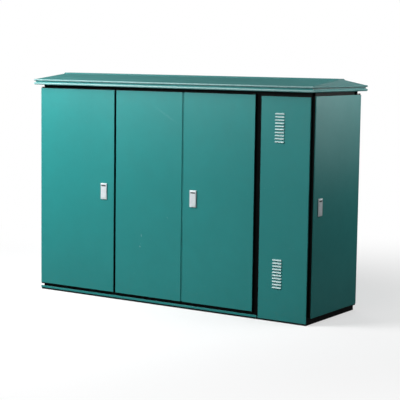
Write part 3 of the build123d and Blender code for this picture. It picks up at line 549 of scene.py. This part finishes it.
def slab(bm, x0, x1, y0, y1, z0, z1, c=0.6):
    """block with all its edges chamfered by c"""
    c = min(c, (x1 - x0) / 3, (y1 - y0) / 3, (z1 - z0) / 3)
    lo, hi = (x0, y0, z0), (x1, y1, z1)
    vs = {}
    for sx in (0, 1):
        for sy in (0, 1):
            for sz in (0, 1):
                s = (sx, sy, sz)
                for k in range(3):
                    p = [(lo, hi)[s[i]][i] + (0 if i == k else (c if s[i] == 0 else -c)) for i in range(3)]
                    vs[s, k] = bm.verts.new(Vector(p) * MM)
    for k in range(3):
        i, j = [n for n in range(3) if n != k]
        for s in (0, 1):
            q = []
            for a, b in ((0, 0), (1, 0), (1, 1), (0, 1)):
                t = [0, 0, 0]
                t[k], t[i], t[j] = s, a, b
                q.append(vs[tuple(t), k])
            bm.faces.new(q)
    for k in range(3):
        i, j = [n for n in range(3) if n != k]
        for a in (0, 1):
            for b in (0, 1):
                t0, t1 = [0, 0, 0], [0, 0, 0]
                t0[i] = t1[i] = a
                t0[j] = t1[j] = b
                t0[k], t1[k] = 0, 1
                bm.faces.new((vs[tuple(t0), i], vs[tuple(t1), i], vs[tuple(t1), j], vs[tuple(t0), j]))
    for sx in (0, 1):
        for sy in (0, 1):
            for sz in (0, 1):
                s = (sx, sy, sz)
                bm.faces.new((vs[s, 0], vs[s, 1], vs[s, 2]))


def hexbolt(bm, at, axis, af, washer=True):
    """hexagon head with its chamfer and washer, standing on a face at at, pointing along axis"""
    h0 = 0.0
    if washer:
        t = max(1.2, af * 0.11)
        lathe(bm, at, axis, [(0, 0), (af * 0.92, 0), (af * 0.95, t * 0.3), (af * 0.95, t * 0.8), (af * 0.90, t), (0, t)], 28)
        h0 = t
    r = af / 2 / math.cos(math.pi / 6)
    h = af * 0.62
    lathe(bm, at, axis, [(0, h0), (r, h0), (r, h0 + h * 0.86), (r * 0.90, h0 + h), (0, h0 + h)], 6, 0.3)


def panhead(bm, at, axis, r):
    lathe(bm, at, axis, [(r, 0), (r, r * 0.25), (r * 0.9, r * 0.5), (r * 0.62, r * 0.68), (r * 0.42, r * 0.70), (r * 0.36, r * 0.35), (0, r * 0.3)], 20)


def tube(bm, pts, r, seg=14):
    """round bar along a smooth line through pts"""
    P = [Vector(p) for p in pts]
    line = []
    for i in range(len(P) - 1):
        p0, p1, p2, p3 = P[max(i - 1, 0)], P[i], P[i + 1], P[min(i + 2, len(P) - 1)]
        for k in range(8):
            t = k / 8
            line.append(0.5 * ((2 * p1) + (p2 - p0) * t + (2 * p0 - 5 * p1 + 4 * p2 - p3) * t * t + (3 * p1 - p0 - 3 * p2 + p3) * t ** 3))
    line.append(P[-1])
    prev = None
    u = None
    for i, c in enumerate(line):
        d = (line[min(i + 1, len(line) - 1)] - line[max(i - 1, 0)]).normalized()
        if u is None:
            _, u, _ = frame_of(d)
        u = (u - d * u.dot(d)).normalized()
        v = d.cross(u)
        ring = [bm.verts.new((c + (u * math.cos(2 * math.pi * k / seg) + v * math.sin(2 * math.pi * k / seg)) * r) * MM) for k in range(seg)]
        if prev:
            for k in range(seg):
                j = (k + 1) % seg
                bm.faces.new((prev[k], prev[j], ring[j], ring[k]))
        else:
            bm.faces.new(list(reversed(ring)))
        prev = ring
    bm.faces.new(prev)


def piece(name, body, slot, build, smooth=True, mat=None):
    bm = bmesh.new()
    build(bm)
    bmesh.ops.recalc_face_normals(bm, faces=bm.faces[:])
    me = bpy.data.meshes.new(name)
    bm.to_mesh(me)
    bm.free()
    if smooth:
        for p in me.polygons:
            p.use_smooth = True
        me.set_sharp_from_angle(angle=math.radians(32))
    me.materials.append(mat or M[slot])
    ob = bpy.data.objects.new(name, me)
    scene.collection.objects.link(ob)
    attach(ob, body)
    return ob


CXS = (-185.0, 165.0, 515.0)

# four painted rivets on doors 1 and 3 where a small plate can be fixed
def rivets(xs, zs):
    def go(bm):
        for x in xs:
            for z in zs:
                lathe(bm, (x, -430.0, z), (0, -1, 0), [(4.2, 0), (4.2, 0.5), (3.6, 1.3), (2.4, 1.9), (0, 2.1)], 20)
    return go


piece("door_1_plate_rivets", "door_1", "cabinet_green_paint", rivets((-1052, -846), (1408, 1538)))
piece("door_3_plate_rivets", "door_3", "cabinet_green_paint", rivets((426, 622), (1402, 1544)))


# transformer: clamp bolts, tapping terminals, phase links, lifting lugs
def clamp_bolts(bm):
    for s in (-1, 1):
        for z in (250.0, 1010.0):
            for x in (-262.0, -95.0, 75.0, 255.0, 425.0, 592.0):
                hexbolt(bm, (x, s * 72.0, z), (0, s, 0), 17)


piece("transformer_clamp_bolts", "root", "zinc_plated_steel", clamp_bolts)


def tap_bolts(bm):
    for x in CXS:
        for z in (520.0, 575.0, 630.0, 685.0, 740.0, 795.0):
            hexbolt(bm, (x, -174.0, z), (0, -1, 0), 11)
        for z in (448.0, 850.0):
            hexbolt(bm, (x, -190.0, z), (0, -1, 0), 13)


piece("transformer_tap_bolts", "root", "zinc_plated_steel", tap_bolts)


def tap_links(bm):
    for x in CXS:
        slab(bm, x - 8, x + 8, -178.5, -174, 618, 697, 0.6)


piece("transformer_tap_links", "root", "copper", tap_links)


def link_lugs(bm):
    for x in CXS:
        for z in (448.0, 850.0):
            lathe(bm, (x, -173.0, z), (0, -1, 0), [(13, 0), (13, 6), (11, 9), (11, 17), (0, 17)], 24)


piece("transformer_link_terminals", "root", "copper", link_lugs)


def links(bm):
    for a, b in ((0, 1), (1, 2)):
        tube(bm, [(CXS[a], -186, 850), (CXS[a] + 60, -200, 800), (CXS[a] + 175, -206, 649), (CXS[b] - 60, -200, 498), (CXS[b], -186, 448)], 8.5)
    tube(bm, [(CXS[2], -186, 850), (CXS[2] - 70, -222, 830), (165, -240, 649), (CXS[0] + 70, -222, 468), (CXS[0], -186, 448)], 8.5)


piece("transformer_phase_links", "root", "lead_insulation", links)


def lugs(bm):
    # plate with an eye at each end of the top clamps
    for s in (-1, 1):
        for x in (-262.0, 592.0):
            y = s * 78.0
            n = 20
            outer, inner = [], []
            for i in range(n):
                t = 2 * math.pi * i / n
                outer.append((x + 24 * math.cos(t), 1096 + 24 * math.sin(t)) if math.sin(t) > 0 else
                             (x + 24 * (1 if math.cos(t) > 0 else -1) if abs(math.cos(t)) > 0.02 else x, 1096 + max(-38, 60 * math.sin(t))))
                inner.append((x + 11 * math.cos(t), 1096 + 11 * math.sin(t)))
            ring = []
            for yy in (y - 5, y + 5):
                ring.append(([bm.verts.new(Vector((p[0], yy, p[1])) * MM) for p in outer], [bm.verts.new(Vector((p[0], yy, p[1])) * MM) for p in inner]))
            for i in range(n):
                j = (i + 1) % n
                for (o, q) in ring:
                    bm.faces.new((o[i], o[j], q[j], q[i]))
                bm.faces.new((ring[0][0][i], ring[0][0][j], ring[1][0][j], ring[1][0][i]))
                bm.faces.new((ring[0][1][i], ring[0][1][j], ring[1][1][j], ring[1][1][i]))


piece("transformer_lifting_lugs", "root", "clamp_blue_paint", lugs)


def spacers(bm):
    # glass sticks that keep the two windings of a limb apart, seen at their top ends
    for x in CXS:
        for k in range(16):
            t = 2 * math.pi * (k + 0.5) / 16
            c, s = math.cos(t), math.sin(t)
            if abs(s) > 0.55 and abs(c) < 0.8:
                continue
            lathe(bm, (x + 118 * c, 118 * s, 928.0), (0, 0, 1), [(0, 0), (4.6, 0), (4.6, 13), (3.9, 14.5), (0, 14.5)], 10)


piece("winding_spacer_sticks", "root", "lv_winding_resin", spacers)


# high-voltage switch: fascia screws, gauge, lifting lugs, rib frames
def fascia_screws(bm):
    for x in (-1203.0, -697.0):
        for z in (672.0, 868.0, 1064.0, 1260.0, 1458.0):
            panhead(bm, (x, -196.0, z), (0, -1, 0), 6.2)
    for x in (-1080.0, -820.0):
        for z in (672.0, 1458.0):
            panhead(bm, (x, -196.0, z), (0, -1, 0), 6.2)


piece("hv_fascia_screws", "root", "zinc_plated_steel", fascia_screws)
GA = (-1158.0, -196.0, 1020.0)
piece("hv_gauge_bezel", "root", "lock_chrome", lambda bm: lathe(bm, GA, (0, -1, 0), [(35, 0), (36, 1), (36, 12), (34.5, 14), (31, 14.5), (30, 13), (30, 3.5), (0, 3.5)], 48))


def gauge_mat():
    """dial: white ground, a green and a red sector and short tick marks, drawn by angle"""
    k = Mat("gauge_dial_v", Roughness=0.35)
    dx, dz = k.add(k.x, 1.158), k.sub(k.z, 1.020)
    ang = k.math("ARCTAN2", dx, dz)
    rad = k.math("SQRT", k.add(k.mul(dx, dx), k.mul(dz, dz)))
    arc = k.mul(k.map(rad, 0.0195, 0.0198), k.map(rad, 0.0238, 0.0241, 1.0, 0.0))
    green = k.mul(arc, k.mul(k.map(ang, -0.3, -0.29), k.map(ang, 2.0, 2.01, 1.0, 0.0)))
    red = k.mul(arc, k.mul(k.map(ang, -2.2, -2.19), k.map(ang, -0.32, -0.31, 1.0, 0.0)))
    tick = k.map(k.math("ABSOLUTE", k.math("SINE", k.mul(ang, 12.0))), 0.0, 0.22, 1.0, 0.0)
    tick = k.mul(tick, k.mul(k.map(rad, 0.0245, 0.0248), k.map(rad, 0.0280, 0.0283, 1.0, 0.0)))
    col = k.mix(k.map(k.noise(30.0, 3.0, 0.6), 0.3, 0.7), (0.72, 0.72, 0.70), (0.78, 0.78, 0.76))
    col = k.mix(green, col, (0.04, 0.36, 0.10))
    col = k.mix(red, col, (0.55, 0.03, 0.02))
    col = k.mix(tick, col, (0.02, 0.02, 0.02))
    k.set("Base Color", col)
    return k.m


def needle(bm):
    lathe(bm, (GA[0], GA[1] - 5.0, GA[2]), (0, -1, 0), [(0, 0), (3.4, 0), (3.4, 3.5), (2.4, 4.4), (0, 4.4)], 18)
    a, c, s = None, math.cos(0.7), math.sin(0.7)
    pts = [(-1.1, -7), (1.1, -7), (0.35, 24), (-0.35, 24)]
    top = [bm.verts.new(Vector((GA[0] + p[0] * c + p[1] * s, GA[1] - 7.2, GA[2] - p[0] * s + p[1] * c)) * MM) for p in pts]
    bot = [bm.verts.new(Vector((GA[0] + p[0] * c + p[1] * s, GA[1] - 6.2, GA[2] - p[0] * s + p[1] * c)) * MM) for p in pts]
    bm.faces.new(top)
    bm.faces.new(list(reversed(bot)))
    for i in range(4):
        j = (i + 1) % 4
        bm.faces.new((top[i], top[j], bot[j], bot[i]))


piece("hv_gauge_dial", "root", "switchgear_grey_paint", lambda bm: lathe(bm, GA, (0, -1, 0), [(0, 3.4), (29.8, 3.4), (29.8, 4.6), (0, 4.6)], 40), True, gauge_mat())
piece("hv_gauge_needle", "root", "black_plastic", needle)


def tank_ribs(bm):
    # welded stiffeners round the tank and pads under its corners
    for z in (470.0, 1450.0):
        slab(bm, -1252, -1240, -182, 292, z - 12, z + 12, 1.2)
        slab(bm, -1236, -664, 300, 312, z - 12, z + 12, 1.2)
    for x in (-1228.0, -672.0):
        slab(bm, x - 6, x + 6, 20, 90, 1500, 1546, 2.0)
    for x in (-1220.0, -680.0):
        for y in (-170.0, 280.0):
            slab(bm, x - 34, x + 34, y - 34, y + 24, 90, 96, 0.8)


piece("hv_tank_stiffeners", "root", "switchgear_grey_paint", tank_ribs)


def cap_grips(bm):
    # fluted grips of the three fuse caps
    for x in (-1120.0, -950.0, -780.0):
        for k in range(12):
            t = 2 * math.pi * k / 12
            lathe(bm, (x + 25.2 * math.cos(t), -234.0, 1408 + 25.2 * math.sin(t)), (0, -1, 0), [(0, -8), (2.6, -8), (2.6, 9.2), (1.8, 10.2), (0, 10.2)], 10)
        lathe(bm, (x, -240.0, 1408), (0, -1, 0), [(0, 3.8), (9, 3.8), (9, 6.5), (7.6, 8), (0, 8)], 24)


piece("hv_fuse_cap_grips", "root", "black_plastic", cap_grips)


# low-voltage side: slotted wiring ducts, terminal rows, breaker faces, busbar bolts
def ducts(bm):
    for y0, y1 in ((-308.0, -268.0), (278.0, 318.0)):
        slab(bm, 1003, 1005, y0, y1, 150, 1660, 0.4)
        slab(bm, 1044, 1046.5, y0 - 1, y1 + 1, 148, 1662, 0.6)
        z = 154.0
        while z < 1652:
            for y in (y0, y1 - 1.6):
                slab(bm, 1005, 1044, y, y + 1.6, z, z + 6.5, 0.3)
            z += 11.0


piece("lv_wiring_ducts", "root", "switchgear_grey_paint", ducts)


def din(bm):
    for z in (1640.0,):
        slab(bm, 1003, 1004.2, -230, 230, z - 17.5, z + 17.5, 0.3)
        for s in (-1, 1):
            slab(bm, 1003, 1010.5, -230, 230, z + s * 12.5 - 0.6, z + s * 12.5 + 0.6, 0.2)
            slab(bm, 1009.5, 1010.6, -230, 230, z + s * 15 - 2.6, z + s * 15 + 2.6, 0.2)


piece("lv_terminal_rail", "root", "zinc_plated_steel", din)


def terminals(bm):
    for k in range(26):
        y = -208 + k * 9.0
        slab(bm, 1010.5, 1050, y, y + 8.4, 1614, 1666, 0.7)
        slab(bm, 1050, 1056, y + 1.0, y + 7.4, 1630, 1650, 0.6)
        for z in (1621.0, 1659.0):
            lathe(bm, (1050.0, y + 4.2, z), (1, 0, 0), [(3.4, 0), (3.4, 1.6), (2.5, 1.6), (2.5, -0.1), (0, -0.1)], 14)


piece("lv_terminal_blocks", "root", "switchgear_grey_paint", terminals)


def end_stops(bm):
    for y in (-219.0, 27.0):
        slab(bm, 1008, 1046, y, y + 9, 1612, 1668, 1.2)


piece("lv_terminal_end_stops", "root", "dark_plastic", end_stops)


def breaker_faces(bm):
    # main breaker: ribs over the arc chambers, side grips, window frame
    for k in range(9):
        y = -92 + k * 23.0
        slab(bm, 1112.6, 1116, y - 6, y + 6, 1182, 1210, 0.8)
        slab(bm, 1112.6, 1116, y - 6, y + 6, 910, 938, 0.8)
    slab(bm, 1112.6, 1115, -98, 98, 1166, 1170, 0.6)
    slab(bm, 1112.6, 1115, -98, 98, 950, 954, 0.6)
    for y in (-96.0, 90.0):
        slab(bm, 1112.6, 1115, y, y + 6, 968, 1152, 0.8)
    for yc in (-150.0, 0.0, 150.0):
        for k in range(3):
            y = yc - 32 + 32 * k
            slab(bm, 1082.6, 1085.4, y - 11, y + 11, 681, 699, 0.6)
            slab(bm, 1082.6, 1085.4, y - 11, y + 11, 541, 559, 0.6)
        for z in (574.0, 664.0):
            slab(bm, 1082.6, 1084.4, yc - 48, yc + 48, z, z + 2.4, 0.4)
    # cover joints of the bus chamber
    for k in range(7):
        y = -180 + 60 * k
        slab(bm, 1051.6, 1054.2, y - 4, y + 4, 742, 798, 0.6)


piece("lv_breaker_ribs", "root", "dark_plastic", breaker_faces)


def breaker_screws(bm):
    for y in (-90.0, 90.0):
        for z in (960.0, 1160.0):
            panhead(bm, (1112.8, y, z), (1, 0, 0), 5.0)
    for yc in (-150.0, 0.0, 150.0):
        for k in range(3):
            y = yc - 32 + 32 * k
            for z in (690.0, 550.0):
                panhead(bm, (1085.2, y, z), (1, 0, 0), 5.4)
        for s in (-1, 1):
            for z in (583.0, 657.0):
                panhead(bm, (1082.8, yc + s * 43, z), (1, 0, 0), 3.2)
    for y in (-192.0, 192.0):
        for z in (745.0, 795.0):
            panhead(bm, (1051.8, y, z), (1, 0, 0), 4.0)
    for y in (-235.0, 245.0):
        for z in (130.0, 480.0, 1100.0, 1690.0):
            panhead(bm, (1002.8, y, z), (1, 0, 0), 6.0)


piece("lv_cover_screws", "root", "zinc_plated_steel", breaker_screws)


def bar_bolts(bm):
    for x, z, yd in zip(CXS, (1510.0, 1430.0, 1350.0), (-60.0, 0.0, 60.0)):
        for dz in (11.0, 29.0):
            hexbolt(bm, (x, 110.0, z + dz), (0, 1, 0), 13)
            hexbolt(bm, (1068.0, yd, z + dz), (1, 0, 0), 10)
        hexbolt(bm, (1068.0, 98.0 if yd < 50 else 92.0, z + 20), (1, 0, 0), 13)
        hexbolt(bm, (x, -110.0, 1350.0), (0, -1, 0), 13)
        hexbolt(bm, (x, 110.0, 965.0), (0, 1, 0), 13)
        hexbolt(bm, (x, -110.0, 965.0), (0, -1, 0), 13)
    hexbolt(bm, (1041.0, -112.0, 1350.0), (1, 0, 0), 13)
    for y in (-60.0, 0.0, 60.0):
        hexbolt(bm, (1036.0, y, 820.0), (1, 0, 0), 10)
        hexbolt(bm, (1036.0, y, 885.0), (1, 0, 0), 10)


piece("busbar_bolts", "root", "zinc_plated_steel", bar_bolts)


def sleeves(bm):
    # coloured sleeves mark the phases on the bars
    for (y, z0, z1) in ((-60.0, 1255.0, 1330.0), (0.0, 1255.0, 1330.0), (60.0, 1255.0, 1330.0)):
        slab(bm, 1054.4, 1063.6, y - 16.6, y + 16.6, z0, z1, 1.2)


def sleeve_mat():
    k = Mat("bar_sleeve_v", Specular_IOR_Level=0.45)
    tone = k.noise(40.0, 3.0, 0.6)
    col = k.mix(k.map(k.y, -0.03, -0.029), (0.60, 0.42, 0.03), (0.03, 0.28, 0.07))
    col = k.mix(k.map(k.y, 0.03, 0.031), col, (0.50, 0.03, 0.02))
    k.set("Base Color", k.mix(k.mul(k.map(tone, 0.4, 0.8), 0.3), col, (0.10, 0.09, 0.08)))
    k.set("Roughness", k.add(0.38, k.mul(tone, 0.15)))
    k.normal(k.bump(k.noise(260.0, 2.0, 0.5), 0.0001, 0.5))
    return k.m


piece("busbar_phase_sleeves", "root", "lead_insulation", sleeves, True, sleeve_mat())


# earth studs with nuts inside the doors
def stud(at, axis):
    def go(bm):
        lathe(bm, at, axis, [(0, 0), (9.0, 0), (9.0, 1.4), (0, 1.4)], 24)
        hexbolt(bm, tuple(a + 1.4 * x for a, x in zip(at, axis)), axis, 13, False)
        lathe(bm, at, axis, [(0, 9), (3.9, 9), (3.9, 15), (3.0, 16), (0, 16)], 16)
    return go


for d, x in (("door_1", -1353.0), ("door_2", -511.0), ("door_3", 850.0)):
    piece(d + "_earth_stud", d, "zinc_plated_steel", stud((x, -403.0, 300.0), (0, 1, 0)))
piece("side_door_earth_stud", "side_door", "zinc_plated_steel", stud((1368.0, 379.0, 300.0), (-1, 0, 0)))


# screws that hold each lock body to its door, seen from inside
def lock_screws(c, side):
    def go(bm):
        for u in (-19.0, 19.0):
            for z in (-55.0, 55.0):
                if side:
                    panhead(bm, (1395.0 - 40.0, c + u, 940 + z), (-1, 0, 0), 4.6)
                else:
                    panhead(bm, (c + u, -430.0 + 40.0, 940 + z), (0, 1, 0), 4.6)
    return go


piece("door_1_lock_screws", "door_1", "zinc_plated_steel", lock_screws(-652.5, False))
piece("door_3_lock_screws", "door_3", "zinc_plated_steel", lock_screws(280.5, False))
piece("side_door_lock_screws", "side_door", "zinc_plated_steel", lock_screws(-293.0, True))


# black pad along the lower edge of each push button: a dark piece as painted shade, in place of the shadow under the
# button
def button_shade_pad(c, side):
    def go(bm):
        if side:
            slab(bm, 1405.6, 1406.7, c - 23, c + 23, 989.6, 995.0, 0.5)
        else:
            slab(bm, c - 23, c + 23, -441.7, -440.6, 989.6, 995.0, 0.5)
    return go


piece("door_1_button_shade_pad", "door_1_button", "black_plastic", button_shade_pad(-652.5, False))
piece("door_3_button_shade_pad", "door_3_button", "black_plastic", button_shade_pad(280.5, False))
piece("side_door_button_shade_pad", "side_door_button", "black_plastic", button_shade_pad(-293.0, True))


# welded gusset that closes the front right corner of the base under the post
piece("base_corner_gusset", "root", "frame_black_paint", lambda bm: slab(bm, 1338, 1366.2, -394.5, -342, 30, 89.6, 1.0))


# woven wire on the two insect screens
def wires(bm):
    for zc in (1565.5, 392.5):
        n = 0
        x = 1053.0
        while x < 1137.5:
            slab(bm, x - 0.35, x + 0.35, -427.2, -426.5, zc - 125.5, zc + 125.5, 0.15)
            x += 2.8
        z = zc - 124.0
        while z < zc + 125:
            slab(bm, 1052.5, 1137.5, -426.9, -426.2, z - 0.35, z + 0.35, 0.15)
            z += 2.8


piece("insect_screen_wires", "root", "screen_mesh", wires, False)


# ------------------------------------------------------------------ stage
def disc(name, r, z, n=96):
    me = bpy.data.meshes.new(name)
    bm = bmesh.new()
    bmesh.ops.create_circle(bm, cap_ends=True, segments=n, radius=r)
    bm.to_mesh(me)
    bm.free()
    ob = bpy.data.objects.new(name, me)
    ob.location.z = z
    scene.collection.objects.link(ob)
    return ob


def floor_shown():
    """the pale floor that is seen; it fades into the white ground far from the object"""
    ob = disc("floor", 90.0, -0.0006)
    m = bpy.data.materials.new("floor_pale")
    m.use_nodes = True
    t = m.node_tree
    t.nodes.clear()
    out = t.nodes.new("ShaderNodeOutputMaterial")
    dif = t.nodes.new("ShaderNodeBsdfDiffuse")
    dif.inputs[0].default_value = (0.86, 0.865, 0.87, 1)
    em = t.nodes.new("ShaderNodeEmission")
    em.inputs[0].default_value = (1, 1, 1, 1)
    em.inputs[1].default_value = 1.0
    mx = t.nodes.new("ShaderNodeMixShader")
    co = t.nodes.new("ShaderNodeTexCoord")
    ln = t.nodes.new("ShaderNodeVectorMath")
    ln.operation = "LENGTH"
    mr = t.nodes.new("ShaderNodeMapRange")
    mr.interpolation_type = "SMOOTHSTEP"
    mr.inputs[1].default_value = 1.3
    mr.inputs[2].default_value = 5.0
    mr.inputs[3].default_value = 0.5
    t.links.new(co.outputs["Object"], ln.inputs[0])
    t.links.new(ln.outputs["Value"], mr.inputs[0])
    t.links.new(mr.outputs[0], mx.inputs[0])
    t.links.new(dif.outputs[0], mx.inputs[1])
    t.links.new(em.outputs[0], mx.inputs[2])
    t.links.new(mx.outputs[0], out.inputs[0])
    ob.data.materials.append(m)
    ob.visible_diffuse = False
    ob.visible_glossy = False
    ob.visible_shadow = False
    return ob


def floor_bounce():
    """what the object itself sees of the floor: a greyer ground, so that the sheen stays calm"""
    ob = disc("floor_bounce", 30.0, -0.004)
    m = bpy.data.materials.new("floor_grey")
    m.use_nodes = True
    b = m.node_tree.nodes["Principled BSDF"]
    b.inputs["Base Color"].default_value = (0.20, 0.20, 0.20, 1)
    b.inputs["Roughness"].default_value = 1.0
    b.inputs["Specular IOR Level"].default_value = 0.0
    ob.data.materials.append(m)
    ob.visible_camera = False
    return ob


floor_shown()
floor_bounce()


def area(name, loc, aim, size, size_y, power, color=(1, 1, 1), spread=180.0):
    l = bpy.data.lights.new(name, "AREA")
    l.shape = "RECTANGLE"
    l.size, l.size_y = size, size_y
    l.energy = power
    l.color = color
    l.spread = math.radians(spread)
    ob = bpy.data.objects.new(name, l)
    ob.location = loc
    d = Vector(aim) - Vector(loc)
    ob.rotation_mode = "QUATERNION"
    ob.rotation_quaternion = d.to_track_quat("-Z", "Y")
    scene.collection.objects.link(ob)
    ob.visible_camera = False
    return ob


def polar(az, el, d, c):
    a, e = math.radians(az), math.radians(el)
    return (c[0] + d * math.sin(a) * math.cos(e), c[1] - d * math.cos(a) * math.cos(e), c[2] + d * math.sin(e))


# softboxes high and low in front, to the left
C0, C1 = (0.0, -0.4, 1.0), (-0.8, -0.4, 1.2)
area("key_high", polar(-35, 55, 6.0, C0), C0, 2.0, 2.0, 128.0)
area("key_low", polar(10, 15, 6.0, C0), C0, 2.0, 2.0, 73.0)
area("key_left", polar(-45, 35, 3.6, C1), C1, 1.6, 1.6, 145.0)
area("key_mid", polar(-20, 35, 3.6, C1), C1, 1.6, 1.6, 90.0)
# small panels to the right that reach the upper half of the side door
area("side_sheen", (3.05, 2.5, 2.0), (1.4, 0.0, 2.0), 1.0, 2.0, 7.4)
area("side_high", (3.6, 3.35, 2.6), (1.4, 0.0, 1.9), 1.2, 2.0, 26.0)
area("side_top", (2.6, 0.3, 2.9), (1.4, 0.0, 1.6), 0.9, 0.9, 24.8)
# soft light on the rear and the left end
rear = area("rear_fill", (-3.6, 5.0, 1.15), (-0.5, 0.4, 0.95), 3.0, 1.8, 260.0)
rear.visible_glossy = False

w = bpy.data.worlds.new("world")
scene.world = w
w.use_nodes = True
t = w.node_tree
t.nodes.clear()
wo = t.nodes.new("ShaderNodeOutputWorld")
ba = t.nodes.new("ShaderNodeBackground")
bb = t.nodes.new("ShaderNodeBackground")
mx = t.nodes.new("ShaderNodeMixShader")
lp = t.nodes.new("ShaderNodeLightPath")
ba.inputs[1].default_value = 1.0
# faint light all round, and a brighter low band to the front right
tc = t.nodes.new("ShaderNodeTexCoord")
sp = t.nodes.new("ShaderNodeSeparateXYZ")
t.links.new(tc.outputs["Generated"], sp.inputs[0])


def wmath(op, a, b):
    n = t.nodes.new("ShaderNodeMath")
    n.operation = op
    for i, v in enumerate((a, b)):
        if isinstance(v, float):
            n.inputs[i].default_value = v
        else:
            t.links.new(v, n.inputs[i])
    return n.outputs[0]


band = wmath("MULTIPLY", wmath("GREATER_THAN", sp.outputs[2], 0.0), wmath("LESS_THAN", sp.outputs[2], 0.21))
band = wmath("MULTIPLY", band, wmath("GREATER_THAN", sp.outputs[0], 0.0))
band = wmath("MULTIPLY", band, wmath("LESS_THAN", sp.outputs[1], 0.0))
t.links.new(wmath("ADD", wmath("MULTIPLY", band, 0.42), 0.055), ba.inputs[0])
bb.inputs[0].default_value = (1, 1, 1, 1)
bb.inputs[1].default_value = 1.0
t.links.new(lp.outputs["Is Camera Ray"], mx.inputs[0])
t.links.new(ba.outputs[0], mx.inputs[1])
t.links.new(bb.outputs[0], mx.inputs[2])
t.links.new(mx.outputs[0], wo.inputs[0])

scene.view_settings.view_transform = "Standard"
scene.view_settings.look = "None"
